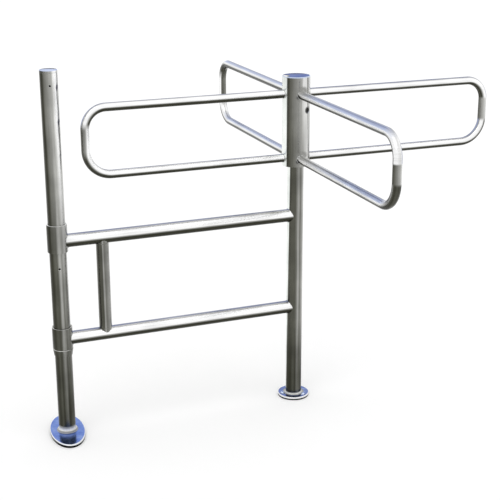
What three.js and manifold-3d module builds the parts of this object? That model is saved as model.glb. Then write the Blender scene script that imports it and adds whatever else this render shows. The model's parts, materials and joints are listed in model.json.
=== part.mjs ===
// A waist-high turnstile: a head with four bent-tube arms turns on a post, and two rails join that post
// to a taller guide post. Millimetres, +Z up. The origin is on the floor under the head's axis. The rails
// run towards -X, and the front faces -Y.
import * as THREE from 'three';
import { mergeVertices } from 'three/addons/utils/BufferGeometryUtils.js';
import Module from 'manifold-3d';

const wasm = await Module();
wasm.setup();

// Clearances
const seatGap = 0.3;            // between two pieces that touch
const runningGap = 0.3;         // between a moving piece and what it moves on
const overrun = 2;              // how far a cutting body runs past the face that it opens
const weldTolerance = 0.0001;   // vertices closer than this are one

// Faces round a full circle
const mainSides = 32;           // posts, sleeves and head
const innerSides = 24;          // what is hidden inside the head
const railSides = 24;
const lockSides = 20;
const armSides = 16;
const armBoreSides = 8;
const smallSides = 12;          // bolts, pins and holes
const wireSides = 4;
const wireHoleSides = 8;
const coilStepsPerTurn = 10;
const bendSteps = 5;            // straight pieces that make one quarter bend
const edgeSteps = 3;            // straight pieces that make one rounded edge
const ovalSides = 36;

// Head: the wide tube that turns on the post
const headTop = 1050;
const headLength = 276;
const headDiameter = 85;
const headWall = 2.5;
const headEdge = 0.6;
const headRadius = headDiameter / 2;
const headInner = headRadius - headWall;
const headBottom = headTop - headLength;

// Turnstile post and its floor flange
const postDiameter = 50.8;
const postWall = 2.6;
const postRadius = postDiameter / 2;
const postInner = postRadius - postWall;
const flangeDiameter = 100;
const flangeThickness = 10;
const flangeEdge = 1.6;
const flangeBoltCircle = 75;
const flangeBoltAngles = [180, -60, 60];

// Floor bolts
const boltShank = 8;
const boltHead = 14;
const boltHeadHeight = 4.6;
const boltTipAboveFloor = 0.5;

// Arms: one tube each, bent into a loop that stands on edge
const armDiameter = 25.4;
const armWall = 1.6;
const armReach = 656;           // head axis to the axis of the loop's upright end
const upperBendRadius = 62;
const lowerBendRadius = 75;
const upperArmDrop = 54;        // head top to the axis of the loop's upper tube
const lowerArmRise = 24;        // head bottom to the axis of its lower tube
const armTurn = -0.4;           // degrees from the rails' line to the arms at rest
const armNames = ['arm_right', 'arm_rear', 'arm_left', 'arm_front'];

// Guide post
const postSpacing = 753;
const guidePostHeight = 1115;
const guideCapHeight = 8;
const guideCapCorner = 5;
const guideCapCrown = 1;
const guideCapPlug = 20;
const pinHoleDiameter = 6;
const pinHoleDrops = [44, 579]; // guide post top to each drilled hole
const pinHoleAngle = -97;

// Oval foot of the guide post
const footHalfWidth = 52.5;
const footHalfLength = 107;
const footTurn = -6.5;          // degrees that the oval is turned about the guide post
const footCoverHeight = 11;
const footCoverSheet = 1.5;
const footCoverEdge = 2.4;
const footNeckHeight = 5.5;
const footNeckWall = 4;
const footNeckEdge = 1.8;
const footPlateThickness = 5;
const footPlateMargin = 4;      // cover's outer edge to the plate's
const footBoltInset = 24;       // cover's outer edge to the bolt axis
const footBoltHeadHeight = 3;

// Sleeves and collar on the guide post
const sleeveWall = 3.9;
const sleeveGap = 0.8;
const sleeveEdge = 0.8;
const upperSleeveLength = 84;
const upperSleeveDrop = 30;     // upper rail axis to the sleeve's lower end
const lowerSleeveLength = 67;
const lowerSleeveDrop = 27.5;   // lower rail axis to the sleeve's lower end
const collarHeight = 22;
const collarLand = 4;
const collarGap = 0.4;
const collarToeWall = 1.4;
const screwDiameter = 8;
const screwSocket = 3.6;
const screwSocketDepth = 2;
const sleeveInner = postRadius + sleeveGap;
const sleeveRadius = sleeveInner + sleeveWall;
const collarToe = postRadius + collarGap + collarToeWall;

// Rails and baluster
const railDiameter = 40;
const railWall = 2;
const upperRailHeight = 613;
const lowerRailHeight = 309;
const balusterDiameter = 38;
const balusterWall = 2;
const balusterOffset = 133;     // guide post axis to baluster axis
const railRadius = railDiameter / 2;
const balusterRadius = balusterDiameter / 2;

// Lock in the side of the head
const lockAngle = -58.5;
const lockDrop = 101;           // head top to the lock's axis
const lockDiameter = 19.6;
const lockBore = 14;
const lockEndWall = 1.6;
const lockInnerEnd = 26;        // head axis to the barrel's inner end
const lockRecess = 4;           // barrel mouth to the plunger's face
const lockHeadLength = 2.5;
const lockTravel = 6.5;
const lockPin = 8;
const lockNutDiameter = 26;
const lockNutThickness = 4;
const lockSpringWire = 0.9;
const lockSpringTurns = 4;
const keySlotWidth = 1.6;
const keySlotLength = 8;
const keySlotDepth = 1.2;

// Spindle: turned plug in the top of the post
const plugLength = 45;
const spindleShoulder = 4;
const lockCollarDiameter = 48;
const lockCollarHeight = 22;
const lockBoreDepth = lockTravel; // the pin starts clear of the collar, so it stops short of the bore's end
const stemDiameter = 36;
const stemLength = 10;
const journalDiameter = 26;
const journalLength = 26;
const threadDiameter = 20;
const threadLength = 33;
const threadChamfer = 2;
const lockHeight = headTop - lockDrop;
const lockCollarBottom = lockHeight - lockCollarHeight / 2;
const lockCollarTop = lockHeight + lockCollarHeight / 2;
const postTop = lockCollarBottom - spindleShoulder - seatGap;
const stemTop = lockCollarTop + stemLength;
const journalTop = stemTop + journalLength;
const spindleTop = journalTop + threadLength;

// Bushes, bearing plate and thrust washer
const lowerBushLength = 30;
const lowerBushRise = 2;        // head bottom to the bush's lower face
const washerDiameter = 50;
const washerThickness = 2;
const bushFlangeDiameter = 50;
const bushFlangeThickness = 3;
const bushDiameter = 34;
const bushTopGap = 2;           // bush top to the end of the spindle's journal
const plateThickness = 12;
const thrustBottom = stemTop + seatGap;
const bushBottom = thrustBottom + washerThickness + runningGap;
const plateBottom = bushBottom + bushFlangeThickness + seatGap;
const plateTop = plateBottom + plateThickness;

// Ratchet wheel on the spindle
const toothCount = 12;
const toothDepth = 5.5;
const toothTipShare = 0.93;     // share of the tooth's pitch where its slope ends
const wheelThickness = 10;
const keyWidth = 5;
const keyHeight = 5;
const keyLength = 8;
const endWasherDiameter = 37;
const endWasherThickness = 3;
const nutSides = 6;
const nutAcrossFlats = 30;
const nutThickness = 16;
const wheelBottom = journalTop + seatGap;
const wheelTop = wheelBottom + wheelThickness;

// Pawls, their pins, clips and springs
const pawlBoss = 5.2;
const pawlBossTurn = 210;        // degrees of the boss that show round the pin
const pawlWallGap = 3.3;        // pawl boss to the head's inner wall
const pawlToWheel = 2.3;        // pawl boss to the tips of the teeth
const pawlFaceGap = 0.5;        // pawl nose to the tooth face that it stops
const pawlNoseWidth = 4.4;
const pawlBellyGap = 1;         // pawl's hollow side to the tooth that it spans
const pawlTurn = 46;            // degrees from the stopped tooth face to the pawl's pin
const pawlAngles = [15, 195];
const pawlEndPlay = 0.5;
const pinDiameter = 6;
const pinShoulderDiameter = 10;
const pinTail = 4;              // pin above the pawl
const pinGrooveDepth = 0.7;
const clipThickness = 1;
const clipWidth = 2.6;
const clipOpening = 70;
const springWire = 1.2;
const springTurns = 3.5;
const springPitch = 1.8;
const springReach = 10;         // pin axis to the leg that presses on the pawl
const springHookHeight = 5;
const springTangDepth = 4;      // spring end in the bearing plate
const pivotRadius = headInner - pawlWallGap - pawlBoss;
const wheelTip = pivotRadius - pawlBoss - pawlToWheel;
const wheelRoot = wheelTip - toothDepth;

// Cap of the head
const capThickness = 3;
const capEdge = 0.6;
const capSkirt = 12;
const capSkirtWall = 3.5;

const degrees = Math.PI / 180;
const quarterTurn = Math.PI / 2;

const finishes = {
  polishedSteel: { color: 0xb9bab6, roughness: 0.12, metalness: 1 },
  shadedSteel: { color: 0x7d7c6c, roughness: 0.2, metalness: 1 },
  plateSteel: { color: 0x7f93cc, roughness: 0.15, metalness: 1 },
  boltSteel: { color: 0xd9dbe0, roughness: 0.25, metalness: 1 },
  toolSteel: { color: 0x8d8f94, roughness: 0.35, metalness: 1 },
  springSteel: { color: 0x6d7075, roughness: 0.3, metalness: 1 },
  brass: { color: 0xb08d3e, roughness: 0.35, metalness: 1 },
  blackLock: { color: 0x2a2a2d, roughness: 0.4, metalness: 0.4 },
  acetal: { color: 0xe9e7df, roughness: 0.55, metalness: 0 },
};

// Booleans: a three.js geometry becomes a solid, and a solid becomes a geometry again
function solidOf(geometry) {
  const bare = geometry.clone();
  bare.deleteAttribute('normal');
  bare.deleteAttribute('uv');
  const merged = mergeVertices(bare, weldTolerance);
  const corners = merged.index.array;
  const kept = [];
  for (let i = 0; i < corners.length; i += 3) {
    const [a, b, c] = [corners[i], corners[i + 1], corners[i + 2]];
    if (a !== b && b !== c && c !== a) kept.push(a, b, c);
  }
  const vertProperties = new Float32Array(merged.attributes.position.array);
  const triVerts = new Uint32Array(kept);
  return new wasm.Manifold(new wasm.Mesh({ numProp: 3, vertProperties, triVerts }));
}

function geometryOf(solid) {
  const mesh = solid.getMesh();
  const geometry = new THREE.BufferGeometry();
  geometry.setAttribute('position', new THREE.BufferAttribute(mesh.vertProperties, mesh.numProp));
  geometry.setIndex(new THREE.BufferAttribute(mesh.triVerts, 1));
  geometry.computeVertexNormals();
  return geometry;
}

function cut(body, ...tools) {
  let solid = solidOf(body);
  for (const tool of tools) solid = solid.subtract(solidOf(tool));
  return geometryOf(solid);
}

function join(...bodies) {
  let solid = solidOf(bodies[0]);
  for (const body of bodies.slice(1)) solid = solid.add(solidOf(body));
  return geometryOf(solid);
}

function common(body, other) {
  return geometryOf(solidOf(body).intersect(solidOf(other)));
}

// A profile of [radius, height] points turned about Z. It runs up the outside, and either starts and
// ends on the axis or comes back down the bore to its first point.
function turned(profile, sides) {
  const points = profile.map(([radius, height]) => new THREE.Vector2(radius, height));
  return new THREE.LatheGeometry(points, sides).rotateX(quarterTurn);
}

function rod(radius, bottom, top, sides) {
  return turned([[0, bottom], [radius, bottom], [radius, top], [0, top]], sides);
}

function ring(outer, inner, bottom, top, sides) {
  return turned([[outer, bottom], [outer, top], [inner, top], [inner, bottom], [outer, bottom]], sides);
}

// A tube with a small chamfer on the outer edge of both ends
function trimmedTube(outer, inner, bottom, top, edge, sides) {
  return turned([
    [outer - edge, bottom], [outer, bottom + edge], [outer, top - edge], [outer - edge, top],
    [inner, top], [inner, bottom], [outer - edge, bottom],
  ], sides);
}

// Points of a quarter round edge, from the upright side to the flat top
function roundedEdge(radius, top, edge) {
  const points = [];
  for (let i = 0; i <= edgeSteps; i++) {
    const angle = quarterTurn * i / edgeSteps;
    points.push([radius - edge + edge * Math.cos(angle), top - edge + edge * Math.sin(angle)]);
  }
  return points;
}

function rodAlongX(radius, from, to, sides) {
  return rod(radius, from, to, sides).rotateY(quarterTurn);
}

// A path through given stations, one section at each, so that straight runs take no extra sections
class StationPath extends THREE.Curve {
  constructor(stations) {
    super();
    this.stations = stations;
  }

  getPoint(share, target = new THREE.Vector3()) {
    const place = Math.min(Math.max(share, 0), 1) * (this.stations.length - 1);
    const before = Math.min(Math.floor(place), this.stations.length - 2);
    return target.lerpVectors(this.stations[before], this.stations[before + 1], place - before);
  }

  getUtoTmapping(share) {
    return share;
  }
}

function circlePoints(radius, sides) {
  const points = [];
  for (let i = 0; i < sides; i++) {
    const angle = 2 * Math.PI * i / sides;
    points.push(new THREE.Vector2(radius * Math.cos(angle), radius * Math.sin(angle)));
  }
  return points;
}

function sweep(section, stations) {
  return new THREE.ExtrudeGeometry(section, {
    steps: stations.length - 1, bevelEnabled: false, extrudePath: new StationPath(stations),
  });
}

// Turnstile post and flange
function turnstilePost() {
  return ring(postRadius, postInner, flangeThickness + seatGap, postTop, mainSides);
}

function boltPlaces() {
  const radius = flangeBoltCircle / 2;
  return flangeBoltAngles.map((angle) => (
    new THREE.Vector3(radius * Math.cos(angle * degrees), radius * Math.sin(angle * degrees), 0)
  ));
}

function turnstileFlange() {
  const radius = flangeDiameter / 2;
  const edge = roundedEdge(radius, flangeThickness, flangeEdge);
  const disc = turned([[0, 0], [radius, 0], ...edge, [0, flangeThickness]], mainSides);
  const hole = boltShank / 2 + seatGap;
  const holes = boltPlaces().map(({ x, y }) => (
    rod(hole, -overrun, flangeThickness + overrun, smallSides).translate(x, y, 0)
  ));
  return cut(disc, ...holes);
}

// A bolt with a domed head whose shank ends just above the floor
function floorBolt(seat, headHeight) {
  const radius = boltHead / 2;
  const shank = boltShank / 2;
  const dome = [];
  for (let i = 1; i < edgeSteps; i++) {
    const angle = quarterTurn * i / edgeSteps;
    dome.push([radius * Math.cos(angle), seat + headHeight * Math.sin(angle)]);
  }
  return turned([
    [0, boltTipAboveFloor], [shank, boltTipAboveFloor], [shank, seat], [radius, seat],
    ...dome, [0, seat + headHeight],
  ], smallSides);
}

// Guide post
function pinHole(drop) {
  return rodAlongX(pinHoleDiameter / 2, postInner - overrun, postRadius + overrun, smallSides)
    .rotateZ(pinHoleAngle * degrees)
    .translate(0, 0, guidePostHeight - drop);
}

function guidePost() {
  const top = guidePostHeight - guideCapHeight - seatGap;
  const tube = ring(postRadius, postInner, footPlateThickness + seatGap, top, mainSides);
  return cut(tube, ...pinHoleDrops.map(pinHole));
}

function guidePostCap() {
  const shoulder = guidePostHeight - guideCapHeight;
  const plug = postInner - seatGap;
  const edge = roundedEdge(postRadius, guidePostHeight - guideCapCrown, guideCapCorner);
  return turned([
    [0, shoulder - guideCapPlug], [plug, shoulder - guideCapPlug], [plug, shoulder],
    [postRadius, shoulder], ...edge, [0, guidePostHeight],
  ], mainSides);
}

// An oval block with a rounded upper edge: a turned disc drawn in along X
function ovalBlock(halfWidth, halfLength, bottom, top, edge) {
  const outline = edge > 0 ? roundedEdge(halfLength, top, edge) : [[halfLength, top]];
  return turned([[0, bottom], [halfLength, bottom], ...outline, [0, top]], ovalSides)
    .scale(halfWidth / halfLength, 1, 1);
}

function footPlate() {
  const halfWidth = footHalfWidth - footPlateMargin;
  const halfLength = footHalfLength - footPlateMargin;
  const hole = boltShank / 2 + seatGap;
  const holes = [-1, 1].map((side) => (
    rod(hole, -overrun, footPlateThickness + overrun, smallSides)
      .translate(0, side * (footHalfLength - footBoltInset), 0)
  ));
  return cut(ovalBlock(halfWidth, halfLength, 0, footPlateThickness, 0), ...holes);
}

// A pressed cover over the foot plate, with a raised neck round the post
function footCover() {
  const neckOuter = postRadius + sleeveGap + footNeckWall;
  const neckTop = footCoverHeight + footNeckHeight;
  const pocketTop = footCoverHeight - footCoverSheet;
  const wall = footPlateMargin / 2;
  const shell = ovalBlock(footHalfWidth, footHalfLength, 0, footCoverHeight, footCoverEdge);
  const neckEdge = roundedEdge(neckOuter, neckTop, footNeckEdge);
  const neck = turned([[0, pocketTop], [neckOuter, pocketTop], ...neckEdge, [0, neckTop]], mainSides);
  const pocket = ovalBlock(footHalfWidth - wall, footHalfLength - wall, -overrun, pocketTop, 0);
  const hole = rod(sleeveInner, -overrun, neckTop + overrun, mainSides);
  return cut(join(shell, neck), pocket, hole);
}

// Sleeves, collar and their grub screws
function screwHole(height) {
  return rodAlongX(screwDiameter / 2 + seatGap, postRadius, sleeveRadius + overrun, smallSides)
    .rotateZ(quarterTurn)
    .translate(0, 0, height);
}

function sleeve(length) {
  const tube = trimmedTube(sleeveRadius, sleeveInner, 0, length, sleeveEdge, mainSides);
  return cut(tube, screwHole(length / 2));
}

function supportCollar() {
  const bore = postRadius + collarGap;
  const body = turned([
    [collarToe, 0], [sleeveRadius, collarHeight - collarLand], [sleeveRadius, collarHeight],
    [bore, collarHeight], [bore, 0], [collarToe, 0],
  ], mainSides);
  return cut(body, screwHole(collarHeight / 2));
}

function grubScrew(outer) {
  const inner = postRadius + seatGap;
  const body = rodAlongX(screwDiameter / 2, inner, outer, smallSides);
  const socket = rodAlongX(screwSocket / 2, outer - screwSocketDepth, outer + overrun, smallSides);
  return cut(body, socket);
}

// A rail coped to the sleeve at one end and to the turnstile post at the other
function rail() {
  const tall = railRadius + overrun;
  const tube = rodAlongX(railRadius, -postSpacing, 0, railSides);
  const bore = rodAlongX(railRadius - railWall, -postSpacing - overrun, overrun, railSides);
  const sleeveCope = rod(sleeveRadius + seatGap, -tall, tall, mainSides).translate(-postSpacing, 0, 0);
  const postCope = rod(postRadius + seatGap, -tall, tall, mainSides);
  return cut(tube, bore, sleeveCope, postCope);
}

// The baluster stands between the rails and is coped to both
function baluster() {
  const half = balusterRadius + overrun;
  const tube = rod(balusterRadius, lowerRailHeight, upperRailHeight, railSides);
  const boreBottom = lowerRailHeight - overrun;
  const bore = rod(balusterRadius - balusterWall, boreBottom, upperRailHeight + overrun, railSides);
  const copes = [lowerRailHeight, upperRailHeight].map((height) => (
    rodAlongX(railRadius + seatGap, -half, half, railSides).translate(0, 0, height)
  ));
  return cut(tube, bore, ...copes);
}

// Head shell with the hole for the lock
function headShell() {
  const tube = trimmedTube(headRadius, headInner, headBottom, headTop, headEdge, mainSides);
  const radius = lockDiameter / 2 + seatGap;
  const hole = rodAlongX(radius, headInner - overrun, headRadius + overrun, lockSides)
    .rotateZ(lockAngle * degrees)
    .translate(0, 0, lockHeight);
  return cut(tube, hole);
}

function headCap() {
  const radius = headInner - seatGap;
  const skirtInner = radius - capSkirtWall;
  const under = headTop - capThickness;
  return turned([
    [0, under], [skirtInner, under], [skirtInner, under - capSkirt], [radius, under - capSkirt],
    [radius, headTop - capEdge], [radius - capEdge, headTop], [0, headTop],
  ], mainSides);
}

// One arm, pointing along +X, with its ends coped to the head
function armStations() {
  const upper = headTop - upperArmDrop;
  const lower = headBottom + lowerArmRise;
  const bends = [
    [upperBendRadius, upper - upperBendRadius, quarterTurn],
    [lowerBendRadius, lower + lowerBendRadius, 0],
  ];
  const stations = [new THREE.Vector3(0, 0, upper)];
  for (const [bend, centreZ, start] of bends) {
    for (let i = 0; i <= bendSteps; i++) {
      const angle = start - quarterTurn * i / bendSteps;
      const x = armReach - bend + bend * Math.cos(angle);
      stations.push(new THREE.Vector3(x, 0, centreZ + bend * Math.sin(angle)));
    }
  }
  stations.push(new THREE.Vector3(0, 0, lower));
  return stations;
}

function arm() {
  const section = new THREE.Shape(circlePoints(armDiameter / 2, armSides));
  section.holes.push(new THREE.Path(circlePoints(armDiameter / 2 - armWall, armBoreSides)));
  const cope = rod(headRadius + seatGap, headBottom - overrun, headTop + overrun, mainSides);
  return cut(sweep(section, armStations()), cope);
}

// Spindle
function spindle() {
  const plug = postInner - seatGap;
  const collar = lockCollarDiameter / 2;
  const thread = threadDiameter / 2;
  const shoulder = postTop + seatGap;
  const body = turned([
    [0, postTop - plugLength], [plug, postTop - plugLength], [plug, shoulder], [postRadius, shoulder],
    [postRadius, lockCollarBottom], [collar, lockCollarBottom], [collar, lockCollarTop],
    [stemDiameter / 2, lockCollarTop], [stemDiameter / 2, stemTop], [journalDiameter / 2, stemTop],
    [journalDiameter / 2, journalTop], [thread, journalTop], [thread, spindleTop - threadChamfer],
    [thread - threadChamfer, spindleTop], [0, spindleTop],
  ], innerSides);
  const lockBores = [0, 1, 2, 3].map((quarter) => (
    rodAlongX(lockPin / 2 + runningGap, collar - lockBoreDepth, collar + overrun, smallSides)
      .rotateZ(lockAngle * degrees + quarter * quarterTurn)
      .translate(0, 0, lockHeight)
  ));
  return cut(body, ...lockBores, keyBlock(seatGap, keyLength + 2 * seatGap));
}

// The key lies half in the spindle and half in the wheel
function keyBlock(gap, length) {
  return new THREE.BoxGeometry(keyHeight + 2 * gap, keyWidth + 2 * gap, length)
    .translate(threadDiameter / 2, 0, wheelBottom + wheelThickness / 2);
}

// Saw teeth: each rises slowly anticlockwise from root to tip, then drops by a steep face
function ratchetWheel() {
  const points = [];
  const pitch = 2 * Math.PI / toothCount;
  for (let tooth = 0; tooth < toothCount; tooth++) {
    const start = tooth * pitch + pawlAngles[0] * degrees;
    const slopeEnd = start + pitch * toothTipShare;
    const faceTop = start + pitch;
    points.push(new THREE.Vector2(wheelRoot * Math.cos(start), wheelRoot * Math.sin(start)));
    points.push(new THREE.Vector2(wheelTip * Math.cos(slopeEnd), wheelTip * Math.sin(slopeEnd)));
    points.push(new THREE.Vector2(wheelTip * Math.cos(faceTop), wheelTip * Math.sin(faceTop)));
  }
  const wheel = new THREE.ExtrudeGeometry(new THREE.Shape(points), {
    depth: wheelThickness, bevelEnabled: false,
  }).translate(0, 0, wheelBottom);
  const bore = rod(threadDiameter / 2 + seatGap, wheelBottom - overrun, wheelTop + overrun, innerSides);
  return cut(wheel, bore, keyBlock(seatGap, wheelThickness + 2 * overrun));
}

function spindleNut() {
  const bottom = wheelTop + seatGap + endWasherThickness + seatGap;
  const corner = nutAcrossFlats / 2 / Math.cos(Math.PI / nutSides);
  const hexagon = rod(corner, bottom, bottom + nutThickness, nutSides);
  const top = bottom + nutThickness;
  const bore = rod(threadDiameter / 2 + seatGap, bottom - overrun, top + overrun, innerSides);
  return cut(hexagon, bore);
}

// Bushes, washers and the bearing plate
function lowerBush() {
  const bottom = headBottom + lowerBushRise;
  return ring(headInner - seatGap, postRadius + runningGap, bottom, bottom + lowerBushLength, innerSides);
}

function upperBush() {
  const bore = journalDiameter / 2 + runningGap;
  const flange = bushFlangeDiameter / 2;
  const body = bushDiameter / 2;
  const flangeTop = bushBottom + bushFlangeThickness;
  const top = journalTop - bushTopGap;
  return turned([
    [flange, bushBottom], [flange, flangeTop], [body, flangeTop], [body, top],
    [bore, top], [bore, bushBottom], [flange, bushBottom],
  ], innerSides);
}

function thrustWasher() {
  const bore = journalDiameter / 2 + seatGap;
  return ring(washerDiameter / 2, bore, thrustBottom, thrustBottom + washerThickness, innerSides);
}

function endWasher() {
  const bottom = wheelTop + seatGap;
  const bore = threadDiameter / 2 + seatGap;
  return ring(endWasherDiameter / 2, bore, bottom, bottom + endWasherThickness, innerSides);
}

// Pawls are set out in a frame whose +X axis runs along the tooth face that the pawl stands against
const pawlPivot = new THREE.Vector2(pivotRadius, 0).rotateAround(new THREE.Vector2(), pawlTurn * degrees);
const noseInner = new THREE.Vector2(wheelRoot + pawlFaceGap, pawlFaceGap);
const noseOuter = new THREE.Vector2(wheelRoot + pawlFaceGap + pawlNoseWidth, pawlFaceGap);
const noseCentre = noseInner.clone().lerp(noseOuter, 1 / 2);
const pawlLean = noseCentre.clone().sub(pawlPivot).angle();
const pawlBottom = wheelBottom + pawlEndPlay;
const pawlTop = wheelTop - pawlEndPlay;

// The same point seen from the pawl's pin, with +X towards the nose and +Y away from the wheel
function fromPin(point) {
  return point.clone().sub(pawlPivot).rotateAround(new THREE.Vector2(), -pawlLean);
}

function bearingPlate() {
  const low = plateBottom - overrun;
  const high = plateTop + overrun;
  const disc = ring(headInner - seatGap, bushDiameter / 2 + seatGap, plateBottom, plateTop, innerSides);
  const pinHoleRadius = pinDiameter / 2 + seatGap;
  const tangHoleRadius = springWire / 2 + seatGap;
  const tang = springTang().rotateAround(new THREE.Vector2(), pawlLean).add(pawlPivot);
  const holes = pawlAngles.flatMap((angle) => [
    rod(pinHoleRadius, low, high, smallSides).translate(pawlPivot.x, pawlPivot.y, 0),
    rod(tangHoleRadius, low, high, wireHoleSides).translate(tang.x, tang.y, 0),
  ].map((hole) => hole.rotateZ(angle * degrees)));
  return cut(disc, ...holes);
}

// Pawl: a boss round the pin, and a hollowed arm whose nose stands against the steep face of a tooth
function pawl() {
  const tipAngle = toothTipShare * 2 * Math.PI / toothCount;
  const bellyRadius = wheelTip + pawlBellyGap;
  const belly = new THREE.Vector2(bellyRadius, 0).rotateAround(new THREE.Vector2(), tipAngle);
  const points = [fromPin(belly), fromPin(noseInner), fromPin(noseOuter)];
  for (let i = 0; i <= smallSides; i++) {
    const angle = quarterTurn + pawlBossTurn * degrees * i / smallSides;
    points.push(new THREE.Vector2(pawlBoss * Math.cos(angle), pawlBoss * Math.sin(angle)));
  }
  const body = new THREE.ExtrudeGeometry(new THREE.Shape(points), {
    depth: pawlTop - pawlBottom, bevelEnabled: false,
  }).translate(0, 0, pawlBottom);
  const radius = pinDiameter / 2 + runningGap;
  return cut(body, rod(radius, pawlBottom - overrun, pawlTop + overrun, smallSides));
}

function pawlPin() {
  const journal = pinDiameter / 2;
  const shoulder = pinShoulderDiameter / 2;
  const shoulderTop = pawlBottom - runningGap;
  const clipBottom = pawlTop + runningGap;
  const groove = journal - pinGrooveDepth;
  const grooveTop = clipBottom + clipThickness + seatGap;
  return turned([
    [0, plateBottom], [journal, plateBottom], [journal, plateTop + seatGap],
    [shoulder, plateTop + seatGap], [shoulder, shoulderTop], [journal, shoulderTop],
    [journal, clipBottom], [groove, clipBottom], [groove, grooveTop],
    [journal, grooveTop], [journal, pawlTop + pinTail], [0, pawlTop + pinTail],
  ], smallSides);
}

// Open retaining clip in the pin's groove
function pawlClip() {
  const inner = pinDiameter / 2 - pinGrooveDepth + runningGap;
  const outer = inner + clipWidth;
  const half = clipOpening / 2 * degrees;
  const clip = new THREE.Shape();
  clip.absarc(0, 0, outer, half, 2 * Math.PI - half, false);
  clip.absarc(0, 0, inner, 2 * Math.PI - half, half, true);
  return new THREE.ExtrudeGeometry(clip, {
    depth: clipThickness, bevelEnabled: false, curveSegments: smallSides,
  }).translate(0, 0, pawlTop + runningGap + seatGap / 2);
}

// A coil about Z from one height to another; negative turns wind clockwise
function coilStations(radius, turns, bottom, top, startAngle) {
  const stations = [];
  const steps = Math.round(Math.abs(turns) * coilStepsPerTurn);
  for (let i = 0; i <= steps; i++) {
    const angle = startAngle + 2 * Math.PI * turns * i / steps;
    const height = bottom + (top - bottom) * i / steps;
    stations.push(new THREE.Vector3(radius * Math.cos(angle), radius * Math.sin(angle), height));
  }
  return stations;
}

// Torsion spring round the shoulder of the pin. Its lower end turns down into the bearing plate, and
// its upper leg runs along the pawl and hooks up behind it.
const springRadius = pinShoulderDiameter / 2 + runningGap + springWire / 2;

function springTang() {
  return new THREE.Vector2(0, -springRadius);
}

function pawlSpring() {
  const wire = springWire / 2;
  const bottom = plateTop + seatGap + wire;
  const top = bottom + springPitch * springTurns;
  const stations = coilStations(springRadius, -springTurns, bottom, top, -quarterTurn);
  const tang = springTang();
  const nose = fromPin(noseOuter);
  const pawlBack = pawlBoss + (nose.y - pawlBoss) * springReach / nose.x;
  const hook = pawlBack + seatGap + wire;
  stations.unshift(new THREE.Vector3(tang.x, tang.y, plateTop - springTangDepth));
  stations.push(new THREE.Vector3(springReach, hook, top));
  stations.push(new THREE.Vector3(springReach, hook, top + springHookHeight));
  return sweep(new THREE.Shape(circlePoints(wire, wireSides)), stations);
}

// Lock: a barrel through the head's wall, drawn along +X at the height of the lock's axis
function lockBarrel() {
  const radius = lockDiameter / 2;
  const boreBottom = lockInnerEnd + lockEndWall;
  const body = rodAlongX(radius, lockInnerEnd, headRadius + overrun, lockSides);
  const bore = rodAlongX(lockBore / 2, boreBottom, headRadius + 2 * overrun, lockSides);
  const pinHoleRadius = lockPin / 2 + runningGap;
  const endHole = rodAlongX(pinHoleRadius, lockInnerEnd - overrun, boreBottom + overrun, smallSides);
  const headSurface = rod(headRadius, -lockDiameter, lockDiameter, mainSides).rotateZ(-lockAngle * degrees);
  return common(cut(body, bore, endHole), headSurface);
}

function lockNut() {
  const outer = lockNutDiameter / 2;
  const inner = lockDiameter / 2 + seatGap;
  const wallSag = headInner - Math.sqrt(headInner ** 2 - outer ** 2);
  const outside = headInner - wallSag - seatGap;
  return ring(outer, inner, outside - lockNutThickness, outside, lockSides).rotateY(quarterTurn);
}

const plungerFace = headRadius - lockRecess;
const plungerBack = plungerFace - lockHeadLength;

function lockPlunger() {
  const head = rodAlongX(lockBore / 2 - runningGap, plungerBack, plungerFace, smallSides);
  const pin = rodAlongX(lockPin / 2, lockInnerEnd, plungerBack + seatGap, smallSides);
  const slot = new THREE.BoxGeometry(2 * keySlotDepth, keySlotWidth, keySlotLength)
    .translate(plungerFace, 0, 0);
  return cut(join(head, pin), slot);
}

function lockSpring() {
  const wire = lockSpringWire / 2;
  const radius = (lockPin / 2 + lockBore / 2) / 2;
  const bottom = lockInnerEnd + lockEndWall + seatGap + wire;
  const top = plungerBack - seatGap - wire;
  const section = new THREE.Shape(circlePoints(wire, wireSides));
  return sweep(section, coilStations(radius, lockSpringTurns, bottom, top, 0)).rotateY(quarterTurn);
}

// The model
const model = new THREE.Group();

function place(parent, name, geometry, finish, x = 0, y = 0, z = 0, turn = 0) {
  const mesh = new THREE.Mesh(geometry, new THREE.MeshStandardMaterial(finish));
  mesh.name = name;
  mesh.position.set(x, y, z);
  mesh.rotation.z = turn;
  parent.add(mesh);
}

function group(parent, x = 0, y = 0, z = 0, turn = 0) {
  const inner = new THREE.Group();
  inner.position.set(x, y, z);
  inner.rotation.z = turn;
  parent.add(inner);
  return inner;
}

function buildTurnstilePost() {
  const { shadedSteel, plateSteel, boltSteel, toolSteel } = finishes;
  place(model, 'turnstile_flange', turnstileFlange(), plateSteel);
  place(model, 'turnstile_post', turnstilePost(), shadedSteel);
  const bolt = floorBolt(flangeThickness + seatGap, boltHeadHeight);
  boltPlaces().forEach(({ x, y }, i) => place(model, `flange_bolt_${i + 1}`, bolt, boltSteel, x, y));
  place(model, 'spindle', spindle(), toolSteel);
  place(model, 'thrust_washer', thrustWasher(), finishes.brass);
  place(model, 'ratchet_wheel', ratchetWheel(), toolSteel);
  place(model, 'ratchet_key', keyBlock(0, keyLength), toolSteel);
  place(model, 'spindle_washer', endWasher(), boltSteel);
  place(model, 'spindle_nut', spindleNut(), boltSteel);
}

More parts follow.
